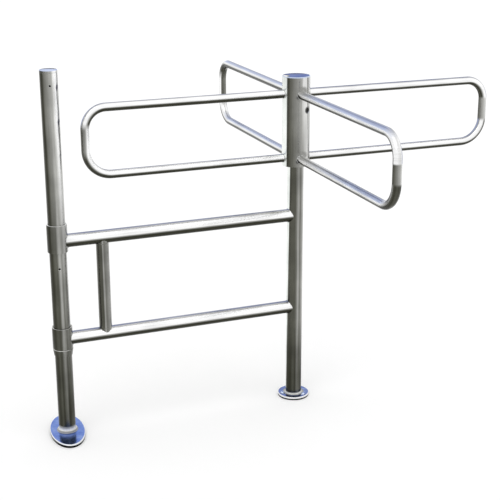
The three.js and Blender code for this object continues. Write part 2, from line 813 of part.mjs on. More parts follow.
function buildGuidePost() {
  const { shadedSteel, plateSteel, boltSteel, polishedSteel } = finishes;
  const side = group(model, -postSpacing);
  place(side, 'guide_post', guidePost(), shadedSteel);
  place(side, 'guide_post_cap', guidePostCap(), polishedSteel);
  const foot = group(side, 0, 0, 0, footTurn * degrees);
  place(foot, 'foot_plate', footPlate(), shadedSteel);
  place(foot, 'foot_cover', footCover(), plateSteel, 0, 0, seatGap);
  const bolt = floorBolt(footPlateThickness + seatGap, footBoltHeadHeight);
  const boltY = footHalfLength - footBoltInset;
  place(foot, 'foot_bolt_front', bolt, boltSteel, 0, -boltY);
  place(foot, 'foot_bolt_rear', bolt, boltSteel, 0, boltY);

  const upperBottom = upperRailHeight - upperSleeveDrop;
  const lowerBottom = lowerRailHeight - lowerSleeveDrop;
  const collarBottom = lowerBottom - seatGap - collarHeight;
  place(side, 'upper_sleeve', sleeve(upperSleeveLength), shadedSteel, 0, 0, upperBottom);
  place(side, 'lower_sleeve', sleeve(lowerSleeveLength), shadedSteel, 0, 0, lowerBottom);
  place(side, 'support_collar', supportCollar(), shadedSteel, 0, 0, collarBottom);
  const sleeveScrew = grubScrew(sleeveRadius);
  const collarScrew = grubScrew((collarToe + sleeveRadius) / 2);
  const upperScrewZ = upperBottom + upperSleeveLength / 2;
  const lowerScrewZ = lowerBottom + lowerSleeveLength / 2;
  place(side, 'upper_sleeve_screw', sleeveScrew, boltSteel, 0, 0, upperScrewZ, quarterTurn);
  place(side, 'lower_sleeve_screw', sleeveScrew, boltSteel, 0, 0, lowerScrewZ, quarterTurn);
  place(side, 'collar_screw', collarScrew, boltSteel, 0, 0, collarBottom + collarHeight / 2, quarterTurn);
}

function buildRails() {
  const { polishedSteel, shadedSteel } = finishes;
  const tube = rail();
  place(model, 'upper_rail', tube, polishedSteel, 0, 0, upperRailHeight);
  place(model, 'lower_rail', tube, polishedSteel, 0, 0, lowerRailHeight);
  place(model, 'baluster', baluster(), shadedSteel, balusterOffset - postSpacing);
}

function buildPawls(head) {
  const { toolSteel, boltSteel, springSteel } = finishes;
  const { x, y } = pawlPivot;
  pawlAngles.forEach((angle, i) => {
    const set = group(head, 0, 0, 0, angle * degrees);
    place(set, `pawl_${i + 1}`, pawl(), toolSteel, x, y, 0, pawlLean);
    place(set, `pawl_pin_${i + 1}`, pawlPin(), boltSteel, x, y);
    place(set, `pawl_clip_${i + 1}`, pawlClip(), springSteel, x, y);
    place(set, `pawl_spring_${i + 1}`, pawlSpring(), springSteel, x, y, 0, pawlLean);
  });
}

function buildLock(head) {
  const lock = group(head, 0, 0, lockHeight, lockAngle * degrees);
  place(lock, 'lock_barrel', lockBarrel(), finishes.polishedSteel);
  place(lock, 'lock_nut', lockNut(), finishes.brass);
  place(lock, 'lock_plunger', lockPlunger(), finishes.blackLock);
  place(lock, 'lock_spring', lockSpring(), finishes.springSteel);
}

function buildHead() {
  const { shadedSteel, polishedSteel, plateSteel, acetal } = finishes;
  const head = group(model);
  place(head, 'head_shell', headShell(), shadedSteel);
  place(head, 'head_cap', headCap(), plateSteel);
  const loop = arm();
  const arms = group(head, 0, 0, 0, armTurn * degrees);
  armNames.forEach((name, i) => place(arms, name, loop, polishedSteel, 0, 0, 0, i * quarterTurn));
  place(head, 'lower_bush', lowerBush(), acetal);
  place(head, 'upper_bush', upperBush(), acetal);
  place(head, 'bearing_plate', bearingPlate(), finishes.toolSteel);
  buildPawls(head);
  buildLock(head);
}

buildTurnstilePost();
buildGuidePost();
buildRails();
buildHead();

export default model;
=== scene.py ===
"""Finishes for a waist-high turnstile with four bent-tube arms, a guide post and two rails.

The frame comes in metres: +Z is up, the turnstile post stands on the origin, the rails run to -X and
the front faces -Y. Every visible tube, plate and bolt gets a finely meshed surface in place of its
plain solid. The mechanism inside the head keeps its solids with turned-metal materials, apart from
its three springs, which are copies of their solids with the doubled points merged.

The long streaks of polished tube are painted reflections of surroundings that are not modelled: bands
of a few tones from one painted scale, laid to be seen from the front left. They are fixed to each tube,
so they stay where they are when the view or the light changes.
"""
import json
import math

import bmesh
import bpy
import numpy as np
from mathutils import Matrix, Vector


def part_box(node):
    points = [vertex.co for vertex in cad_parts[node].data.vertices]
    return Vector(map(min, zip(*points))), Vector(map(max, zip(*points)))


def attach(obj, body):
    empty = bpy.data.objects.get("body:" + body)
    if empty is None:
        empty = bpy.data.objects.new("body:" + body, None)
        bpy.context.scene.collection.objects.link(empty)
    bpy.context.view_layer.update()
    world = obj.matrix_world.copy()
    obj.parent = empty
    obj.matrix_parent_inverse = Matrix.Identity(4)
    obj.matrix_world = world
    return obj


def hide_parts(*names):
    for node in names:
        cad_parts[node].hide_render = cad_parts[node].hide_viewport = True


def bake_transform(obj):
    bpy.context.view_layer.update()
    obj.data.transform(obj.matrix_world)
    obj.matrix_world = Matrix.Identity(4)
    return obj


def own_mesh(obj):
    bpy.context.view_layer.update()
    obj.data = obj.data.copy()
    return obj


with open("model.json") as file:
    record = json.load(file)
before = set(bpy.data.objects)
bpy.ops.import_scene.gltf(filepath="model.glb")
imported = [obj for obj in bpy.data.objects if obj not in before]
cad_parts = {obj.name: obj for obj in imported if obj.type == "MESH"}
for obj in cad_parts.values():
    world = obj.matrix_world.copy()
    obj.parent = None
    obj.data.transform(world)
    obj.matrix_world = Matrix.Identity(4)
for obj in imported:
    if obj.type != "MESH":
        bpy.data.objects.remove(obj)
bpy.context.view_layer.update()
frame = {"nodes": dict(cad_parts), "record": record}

MM = 0.001
TURN = 2 * math.pi
SEAT_GAP = 0.3 * MM
WELD_DISTANCE = 0.002 * MM      # points closer than this are one point

# Tubes and heights, as in the frame
POST_RADIUS = 25.4 * MM
POST_BORE = 22.8 * MM
POST_TOP = 933.7 * MM
HEAD_RADIUS = 42.5 * MM
HEAD_BORE = 40 * MM
HEAD_BOTTOM = 774 * MM
HEAD_TOP = 1050 * MM
HEAD_EDGE = 0.6 * MM
CAP_RADIUS = 39.7 * MM
GUIDE_X = -753 * MM
GUIDE_TOP = 1115 * MM
GUIDE_CAP = 8 * MM
CAP_SHOULDER = 2.5 * MM
RAIL_RADIUS = 20 * MM
RAIL_BORE = 18 * MM
RAIL_HEIGHTS = {"upper_rail": 613 * MM, "lower_rail": 309 * MM}
BALUSTER_X = GUIDE_X + 133 * MM
BALUSTER_RADIUS = 19 * MM
BALUSTER_BORE = 17 * MM
SLEEVE_RADIUS = 30.1 * MM
SLEEVE_BORE = 26.2 * MM
SLEEVES = {"upper_sleeve": (583 * MM, 667 * MM), "lower_sleeve": (281.5 * MM, 348.5 * MM)}
COLLAR = (259.2 * MM, 281.2 * MM)
COLLAR_TOE = 27.2 * MM
COLLAR_LAND = 4 * MM
COLLAR_BORE = 25.8 * MM
COLLAR_BEVEL = 1.6 * MM
SCREW_RADIUS = 4 * MM
PIN_HOLE_RADIUS = 3 * MM
PIN_HOLE_HEIGHTS = (536 * MM, 1071 * MM)
PIN_HOLE_AZIMUTH = math.radians(-97)
ARM_RADIUS = 12.7 * MM
ARM_BORE = 11.1 * MM
ARM_REACH = 656 * MM
ARM_UPPER_BEND = 62 * MM
ARM_LOWER_BEND = 75 * MM
ARM_UPPER = 996 * MM
ARM_LOWER = 798 * MM
ARM_TILT_SHARES = {"arm_right": (0.2, 0.08)}   # how far the streaks lean to the front, above and below
ARM_END_SHARES = {"arm_right": (0.9,), "arm_rear": (0.6,), "arm_left": (0.8,), "arm_front": (0.96, 8 * MM)}
ARM_AZIMUTHS = {"arm_right": -0.4, "arm_rear": 89.6, "arm_left": 179.6, "arm_front": -90.4}
FLANGE_RADIUS = 50 * MM
FLANGE_THICKNESS = 10 * MM
FLANGE_EDGE = 1.6 * MM
BOLT_CIRCLE = 37.5 * MM
BOLT_AZIMUTHS = (180, -60, 60)
BOLT_HOLE = 4.3 * MM
BOLT_SHANK = 4 * MM
BOLT_HEAD = 7 * MM
BOLT_HEAD_HEIGHT = 4.6 * MM
BOLT_TIP = 0.5 * MM
FOOT_HALF = (52.45 * MM, 107 * MM)
FOOT_TURN = math.radians(-6.5)
FOOT_FLOOR = 0.3 * MM
FOOT_TOP = 11.3 * MM
FOOT_EDGE = 2.4 * MM
FOOT_SHEET = 1.5 * MM
FOOT_LIP = 2 * MM
NECK_RADIUS = 30.2 * MM
NECK_TOP = 16.8 * MM
NECK_EDGE = 1.8 * MM
NECK_FILLET = 2 * MM
LOCK_AZIMUTH = math.radians(-58.5)
LOCK_HEIGHT = 949 * MM
LOCK_RADIUS = 9.8 * MM
LOCK_HOLE = 10.1 * MM
LOCK_BORE = 7 * MM
LOCK_INNER_END = 26 * MM
LOCK_END_WALL = 1.6 * MM
LOCK_PIN_HOLE = 4.3 * MM
PLUNGER_FACE = 38.5 * MM
PLUNGER_HEAD = 6.7 * MM
PLUNGER_LENGTH = 2.5 * MM
PLUNGER_PIN = 4 * MM

# Directions that the streaks of polished tube follow, across an upright tube and across a level one,
# chosen so that the streaks lie right when seen from the front left, as in the photograph
SIDE = (0.930, -0.367, 0.0)
GUIDE_SIDE = (0.979, -0.206, 0.0)
ARM_SIDE = (0.86, -0.51, 0.0)
CROSS_LIFT = (0.66, 0.0, 0.75)
FRONT = (-0.404, -0.915, 0.0)
GUIDE_DEPTH = FRONT[0] * GUIDE_X        # how far forward the guide post's axis is
COLLAR_LIP_SPAN = (GUIDE_DEPTH - SLEEVE_RADIUS, GUIDE_DEPTH + SLEEVE_RADIUS)
GUIDE_CAP_SPAN = (GUIDE_DEPTH - POST_RADIUS, GUIDE_DEPTH + POST_RADIUS)

SMOOTH_ANGLE = math.radians(32)
ROUND = 96                      # points round a post, sleeve or head
SLIM = 64                       # points round a rail or an arm


# Surfaces: a sheet is a grid of points, rows by columns, whose columns run round and join up
def linear(hex_colour):
    """sRGB hex to linear light: value / 12.92 below 0.04045, else ((value + 0.055) / 1.055) ^ 2.4."""
    shares = np.array([int(hex_colour[i:i + 2], 16) for i in (0, 2, 4)]) / 255
    light = np.where(shares < 0.04045, shares / 12.92, ((shares + 0.055) / 1.055) ** 2.4)
    return (*light, 1.0)


def turned(profile, columns=ROUND, x=0.0, y=0.0, start=0.0):
    """Each profile point (radius, height) goes round an upright axis: x + r cos t, y + r sin t, height."""
    angle = start + TURN * np.arange(columns) / columns
    radius, height = np.array(profile).T[:, :, None]
    return np.stack((x + radius * np.cos(angle), y + radius * np.sin(angle), height + 0 * angle), axis=-1)


def arc(centre, radius, start, end, steps=6):
    """Profile points centre + radius (cos t, sin t), with t from start to end in degrees."""
    angle = np.radians(np.linspace(start, end, steps + 1))
    return [(centre[0] + radius * c, centre[1] + radius * s) for c, s in zip(np.cos(angle), np.sin(angle))]


def cells(points, ring=False, opened=None):
    """The points of a sheet and its four-sided faces; ring joins the last row to the first."""
    rows, columns = points.shape[:2]
    index = np.arange(rows * columns).reshape(rows, columns)
    index = np.concatenate((index, index[:, :1]), axis=1)
    if ring:
        index = np.concatenate((index, index[:1]))
    faces = np.stack((index[:-1, :-1], index[:-1, 1:], index[1:, 1:], index[1:, :-1]), axis=-1)
    if opened is not None:
        faces = faces[~opened]
    return points.reshape(-1, 3), faces.reshape(-1, 4)


def placed(sheet, turn):
    """A sheet with every point multiplied by a turn, a 3 by 3 matrix."""
    points, faces = sheet
    return points @ np.array(turn).T, faces


def about_z(angle):
    return Matrix.Rotation(angle, 3, "Z")


def piece(name, sheets, finish, body, slot, replaced=None, **marks):
    """One mesh from sheets, welded, with faces outwards; a mark is a value at each point, worked out
    from the array of points."""
    counts = np.cumsum([0] + [len(sheet[0]) for sheet in sheets])
    points = np.concatenate([points for points, faces in sheets])
    faces = np.concatenate([sheet[1] + count for sheet, count in zip(sheets, counts)])
    mesh = bpy.data.meshes.new(name)
    mesh.from_pydata(points.tolist(), [], faces.tolist())
    shape = bmesh.new()
    shape.from_mesh(mesh)
    bmesh.ops.remove_doubles(shape, verts=shape.verts, dist=WELD_DISTANCE)
    bmesh.ops.recalc_face_normals(shape, faces=shape.faces)
    shape.to_mesh(mesh)
    shape.free()
    mesh.polygons.foreach_set("use_smooth", np.ones(len(mesh.polygons), dtype=bool))
    mesh.set_sharp_from_angle(angle=SMOOTH_ANGLE)
    places = np.zeros(len(mesh.vertices) * 3)
    mesh.vertices.foreach_get("co", places)
    for mark, value in marks.items():
        values = np.broadcast_to(value(places.reshape(-1, 3)), len(mesh.vertices))
        mesh.attributes.new(mark, "FLOAT", "POINT").data.foreach_set("value", values.astype(np.float32))
    mesh.materials.append(finish)
    made = bpy.data.objects.new(name, mesh)
    bpy.context.scene.collection.objects.link(made)
    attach(made, body)
    if replaced:
        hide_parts(replaced)
    return made


def everywhere(share):
    """A mark with the same value at every point."""
    return lambda places: np.full(len(places), share)


def window_rim(columns, rows):
    """Steps along the edge of a window of grid cells, as (column, row) shares from -1 to 1, in order."""
    across = np.arange(-columns, columns) / columns
    along = np.arange(-rows, rows) / rows
    column = np.concatenate((across, np.ones(2 * rows), -across, -np.ones(2 * rows)))
    row = np.concatenate((-np.ones(2 * columns), along, np.ones(2 * columns), -along))
    return column, row


def drilled_tube(outer, inner, holes, azimuth, x=0.0, columns=ROUND, bevel=0.3 * MM, extra=()):
    """A tube turned from an outer profile that rises and an inner one with the same ends, with round
    holes (height, radius) in its wall. Round each hole a window of the grid is left out, and its
    edge is drawn in to the circle in the unrolled wall, (angle, height), then carried inwards."""
    step = TURN / columns
    outer_radius, outer_height = np.array(outer).T
    inner_radius, inner_height = np.array(inner).T
    half_rows = 4
    windows = []
    for height, radius in holes:
        reach = radius * 1.5 + 1 * MM
        windows.append((height, radius, reach, int(np.ceil(reach / (outer_radius.max() * step)))))
    sheets = []
    for radii, heights in ((outer_radius, outer_height), (inner_radius, inner_height)):
        inserted = [height + reach * np.arange(-half_rows, half_rows + 1) / half_rows
                    for height, radius, reach, half in windows]
        levels = np.unique(np.round(np.concatenate([heights, *inserted, np.array(extra)]), 9))
        rows = np.interp(levels, heights, radii)
        opened = np.zeros((len(levels) - 1, columns), dtype=bool)
        for height, radius, reach, half in windows:
            first = np.searchsorted(levels, height - reach - WELD_DISTANCE)
            last = np.searchsorted(levels, height + reach - WELD_DISTANCE)
            opened[first:last, np.arange(-half, half)] = True
        wall = turned(np.stack((rows, levels), axis=-1), columns, start=0.0)
        sheets.append(cells(wall, opened=opened))
    for end in (0, -1):
        rim = [(outer_radius[end], outer_height[end]), (inner_radius[end], inner_height[end])]
        sheets.append(cells(turned(rim, columns)))
    for height, radius, reach, half in windows:
        column, row = window_rim(half, half_rows)
        angle = column * half * step
        rise = row * reach
        bearing = np.arctan2(rise, angle * outer_radius.max())
        bands = []
        for radii, heights, mouth in ((outer_radius, outer_height, radius + bevel),
                                      (inner_radius, inner_height, radius)):
            level = np.interp(height, heights, radii)
            round_angle = np.arcsin(mouth * np.cos(bearing) / level)
            band = []
            for share in np.linspace(0, 1, 5):
                turn = angle + (round_angle - angle) * share
                level_here = height + rise + (mouth * np.sin(bearing) - rise) * share
                wall_here = np.interp(level_here, heights, radii)
                band.append(np.stack((wall_here * np.cos(turn), wall_here * np.sin(turn), level_here), -1))
            bands.append(band)
        across = radius * np.cos(bearing)
        level_here = height + radius * np.sin(bearing)
        wall_here = np.interp(level_here, outer_height, outer_radius)
        lip = np.stack((np.sqrt(wall_here ** 2 - across ** 2) - bevel, across, level_here), -1)
        sheets.append(cells(np.array([*bands[0], lip, *bands[1][::-1]])))
    turn = about_z(azimuth)
    return [(points @ np.array(turn).T + (x, 0, 0), faces) for points, faces in sheets]


def edged_profile(radius, bore, bottom, top, edge):
    """Outer and inner profiles of a tube whose outer edges are rounded off."""
    outer = arc((radius - edge, bottom + edge), edge, -90, 0, 3)
    outer += arc((radius - edge, top - edge), edge, 0, 90, 3)
    return outer, [(bore, bottom), (bore, top)]


def coped_rows(bore, reach_from, reach_to, columns, rows):
    """Rows of a level tube along X whose ends follow upright cylinders at both ends: at height angle t
    the end lies where the cylinder is, centre + sqrt(radius² - (bore cos t)²)."""
    angle = TURN * np.arange(columns) / columns
    across, rise = bore * np.cos(angle), bore * np.sin(angle)
    ends = []
    for centre, radius, way in (reach_from, reach_to):
        ends.append(centre + way * np.sqrt(radius ** 2 - across ** 2))
    share = np.linspace(0, 1, rows)[:, None]
    along = ends[0] + (ends[1] - ends[0]) * share
    return np.stack((along, across + 0 * along, rise + 0 * along), axis=-1)


# Nodes
def add(tree, kind, inputs=None, stops=None, **settings):
    """Adds a node: inputs are sockets to link from or values to set, and stops are a colour ramp's."""
    node = tree.nodes.new(kind)
    for setting, value in settings.items():
        setattr(node, setting, value)
    for socket, value in (inputs or {}).items():
        if isinstance(value, bpy.types.NodeSocket):
            tree.links.new(value, node.inputs[socket])
        else:
            node.inputs[socket].default_value = value
    if stops:
        ramp = node.color_ramp
        for _ in stops[2:]:
            ramp.elements.new(0.5)
        for element, (place, colour) in zip(ramp.elements, stops):
            element.position = place
        for element, (place, colour) in zip(ramp.elements, stops):
            element.color = linear(colour)
    return node


def new_material(name):
    material = bpy.data.materials.new(name)
    material.use_nodes = True
    tree = material.node_tree
    shader = tree.nodes["Principled BSDF"]
    place = add(tree, "ShaderNodeTexCoord")
    return material, tree, shader, place.outputs["Object"], place.outputs["Normal"]


def layered(tree, tone, *layers):
    """A tone with colours laid over it in turn, each by its own factor."""
    for colour, factor in layers:
        tone = add(tree, "ShaderNodeMix", {0: factor, 6: tone, 7: colour}, data_type="RGBA").outputs[2]
    return tone


def mirrored_foot(tree, tone):
    """Lays painted reflections over a tone, such as the mirrored foot of a post, and lessens the metal there
    so that it stays pale.
    """
    glint = add(tree, "ShaderNodeAttribute", attribute_name="glint").outputs["Fac"]
    pale = add(tree, "ShaderNodeValToRGB", {0: glint}, GLINT_STOPS).outputs[0]
    covers = add(tree, "ShaderNodeMapRange", {0: glint, 1: 0.02, 2: 0.3}).outputs[0]
    sheen = add(tree, "ShaderNodeMapRange", {0: glint, 1: 0.02, 2: 0.3, 3: 1.0, 4: 0.15}).outputs[0]
    return layered(tree, tone, (pale, covers)), sheen


def wavy_dark_reflection(tree, height, across):
    """Where a painted dark reflection runs down a tube as a line: its place across is 0.84 + 0.05 sin of the
    height, and it swells into a lens every 98 mm, by the fourth power of a cosine of the height. It
    shows from 850 mm up."""
    turns = add(tree, "ShaderNodeMath", {0: height, 1: TURN / 0.098, 2: -1.066 * TURN / 0.098},
                operation="MULTIPLY_ADD").outputs[0]
    swing = add(tree, "ShaderNodeMath", {0: turns}, operation="SINE").outputs[0]
    place = add(tree, "ShaderNodeMath", {0: swing, 1: 0.05, 2: 0.84}, operation="MULTIPLY_ADD").outputs[0]
    swell = add(tree, "ShaderNodeMath", {0: turns}, operation="COSINE").outputs[0]
    swell = add(tree, "ShaderNodeMath", {0: swell, 1: 0.0}, operation="MAXIMUM").outputs[0]
    swell = add(tree, "ShaderNodeMath", {0: swell, 1: 8.0}, operation="POWER").outputs[0]
    swell = add(tree, "ShaderNodeMath", {0: swell, 1: 0.09, 2: 0.03}, operation="MULTIPLY_ADD")
    half_width = swell.outputs[0]
    off = add(tree, "ShaderNodeMath", {0: across, 1: place}, operation="SUBTRACT").outputs[0]
    off = add(tree, "ShaderNodeMath", {0: off}, operation="ABSOLUTE").outputs[0]
    inside = add(tree, "ShaderNodeMath", {0: half_width, 1: off}, operation="SUBTRACT").outputs[0]
    line = add(tree, "ShaderNodeMapRange", {0: inside, 1: -0.02, 2: 0.03}).outputs[0]
    high = add(tree, "ShaderNodeMapRange", {0: height, 1: 0.82, 2: 0.93}).outputs[0]
    return add(tree, "ShaderNodeMath", {0: line, 1: high}, operation="MULTIPLY").outputs[0]


# One scale of painted reflection tones for every polished tube: an even run of greys from what faces the
# ground to what faces a bright sky, and three blues of a clear sky. The lock's painted shade takes its
# tones from it too
PAINTED_LIGHT_TONES = {
    "pit": "1c1c18", "dark": "38382f", "earth": "54544c", "grey": "70706a", "mid": "8c8c88",
    "soft": "a8a8a4", "pale": "c8c8c6", "light": "e2e2e0", "white": "fafafa",
    "night_blue": "747c9c", "dusk_blue": "98a2c2", "sky_blue": "bcc6e0",
}
# Tones of the painted reflections laid over a post's foot and other pale marks
GLINT_STOPS = [(0.1, PAINTED_LIGHT_TONES["mid"]), (0.5, PAINTED_LIGHT_TONES["soft"]), (0.7, PAINTED_LIGHT_TONES["light"]),
               (1.0, PAINTED_LIGHT_TONES["white"])]


def shading(shares):
    """Ramp stops from (place across the tube from -1 to 1, tone)."""
    return [((place + 1) / 2, PAINTED_LIGHT_TONES[tone]) for place, tone in shares]


# Polished stainless tube, drawn and then buffed lengthwise: long streaks of painted reflection, darkest
# where the tube faces the ground, and pale where it faces the sky. Places run from -1 to 1 across the tube.
RAIL_STREAK_SHARES = (
    (-1, "dark"), (-0.2, "dark"), (0, "soft"), (0.1, "white"), (0.8, "white"), (0.9, "pale"),
    (1, "night_blue"),
)
CROSS_ARM_STREAK_SHARES = (
    (-1, "pit"), (-0.85, "dark"), (-0.7, "pale"), (-0.5, "white"), (-0.2, "sky_blue"),
    (0.2, "dusk_blue"), (0.4, "night_blue"), (0.6, "dusk_blue"), (1, "grey"),
)
REAR_ARM_STREAK_SHARES = (
    (-1, "pit"), (-0.7, "dark"), (-0.5, "light"), (-0.3, "white"), (0.1, "sky_blue"),
    (0.5, "dusk_blue"), (0.7, "night_blue"), (1, "night_blue"),
)
ARM_ROOT_STREAK_SHARES = (
    (-1, "pit"), (-0.8, "dark"), (-0.7, "light"), (-0.5, "light"), (-0.3, "pale"), (0.5, "soft"),
    (0.8, "light"), (1, "pale"),
)
ARM_END_STREAK_SHARES = (
    (-1, "dark"), (-0.6, "earth"), (-0.2, "grey"), (0.2, "mid"), (0.6, "soft"), (1, "light"),
)
RIGHT_ARM_END_STREAK_SHARES = (
    (-1, "dark"), (-0.6, "grey"), (-0.2, "mid"), (0.3, "soft"), (0.8, "pale"), (1, "light"),
)
LEFT_ARM_END_STREAK_SHARES = (
    (-1, "earth"), (-0.6, "grey"), (-0.2, "mid"), (0.1, "soft"), (0.4, "white"), (1, "white"),
)
REAR_ARM_END_STREAK_SHARES = (
    (-1, "pale"), (-0.8, "white"), (-0.5, "white"), (-0.3, "grey"), (0, "earth"), (0.3, "grey"),
    (0.8, "grey"), (1, "soft"),
)
HEAD_STREAK_SHARES = (
    (-0.7, "dark"), (-0.5, "earth"), (-0.3, "grey"), (0, "mid"), (0.4, "soft"), (0.5, "light"),
    (0.7, "light"), (0.8, "earth"), (0.9, "light"), (1, "soft"),
)
HEAD_FOOT_STREAK_SHARES = (
    (-0.7, "dark"), (-0.4, "earth"), (-0.1, "grey"), (0.2, "mid"), (0.5, "soft"), (0.8, "light"),
    (0.9, "mid"), (1, "pale"),
)
POST_STREAK_SHARES = (
    (-0.7, "dark"), (-0.3, "earth"), (0, "earth"), (0.3, "mid"), (0.6, "grey"), (0.8, "soft"),
    (1, "light"),
)
POST_MIDDLE_STREAK_SHARES = (
    (-0.7, "earth"), (0, "earth"), (0.2, "grey"), (0.4, "soft"), (0.5, "mid"), (0.6, "grey"),
    (0.9, "soft"), (1, "pale"),
)
POST_FOOT_STREAK_SHARES = (
    (-1, "earth"), (-0.8, "dark"), (-0.4, "dark"), (-0.1, "earth"), (0.1, "dark"), (0.4, "grey"),
    (0.7, "earth"), (0.9, "pit"), (1, "pit"),
)
BEND_STREAK_SHARES = (
    (-1, "pit"), (-0.8, "earth"), (-0.6, "dark"), (-0.3, "earth"), (0, "pale"), (0.2, "white"),
    (0.8, "white"), (0.9, "soft"), (1, "dusk_blue"),
)
BEND_EDGE_SHARES = (
    (-1, "pit"), (-0.9, "dark"), (-0.8, "white"), (0.8, "white"), (1, "night_blue"),
)
GUIDE_STREAK_SHARES = (
    (-1, "grey"), (-0.9, "dark"), (-0.7, "dark"), (-0.5, "grey"), (-0.1, "mid"), (0.3, "soft"),
    (0.5, "light"), (0.7, "white"), (0.9, "soft"), (1, "pale"),
)
GUIDE_MIDDLE_STREAK_SHARES = (
    (-1, "dark"), (-0.7, "dark"), (-0.4, "earth"), (-0.1, "earth"), (0.1, "soft"), (0.2, "soft"),
    (0.4, "grey"), (0.6, "mid"), (0.7, "grey"), (1, "pale"),
)
BALUSTER_STREAK_SHARES = (
    (-1, "grey"), (-0.8, "earth"), (-0.2, "earth"), (0, "soft"), (0.2, "grey"), (0.6, "mid"),
    (1, "soft"),
)
GUIDE_FOOT_STREAK_SHARES = (
    (-1, "dark"), (-0.7, "dark"), (-0.4, "earth"), (-0.2, "dark"), (0.2, "grey"), (0.4, "dark"),
    (0.7, "earth"), (1, "dark"),
)
TUBE_MARKS = ("upright", "seam", "lift", "bent", "edged", "root", "near_head", "crossing")
# Painted light laid over the tubes and plates: a pale band of painted reflection down a post, painted shade
# round the head's lock and arm roots, a wavy painted dark reflection, the sky's painted reflection on a
# rounded top edge, and painted shade on a plate's edge where it faces the ground
REFLECTED_STRIP_COLOUR = "eef2ee"         # pale band down a post
PAINTED_SHADE_COLOUR = "343436"
WAVY_REFLECTION_COLOUR = "54545e"
EDGE_REFLECTION_COLOUR = "ccd8ec"
GROUND_SHADE_COLOUR = "0c0c0a"        # a plate's edge where it faces the ground
STREAK_WIDTH_SHARE = 0.22       # how far the streaks wander across an upright tube
LEVEL_WIDTH_SHARE = 0.1         # and across a level one


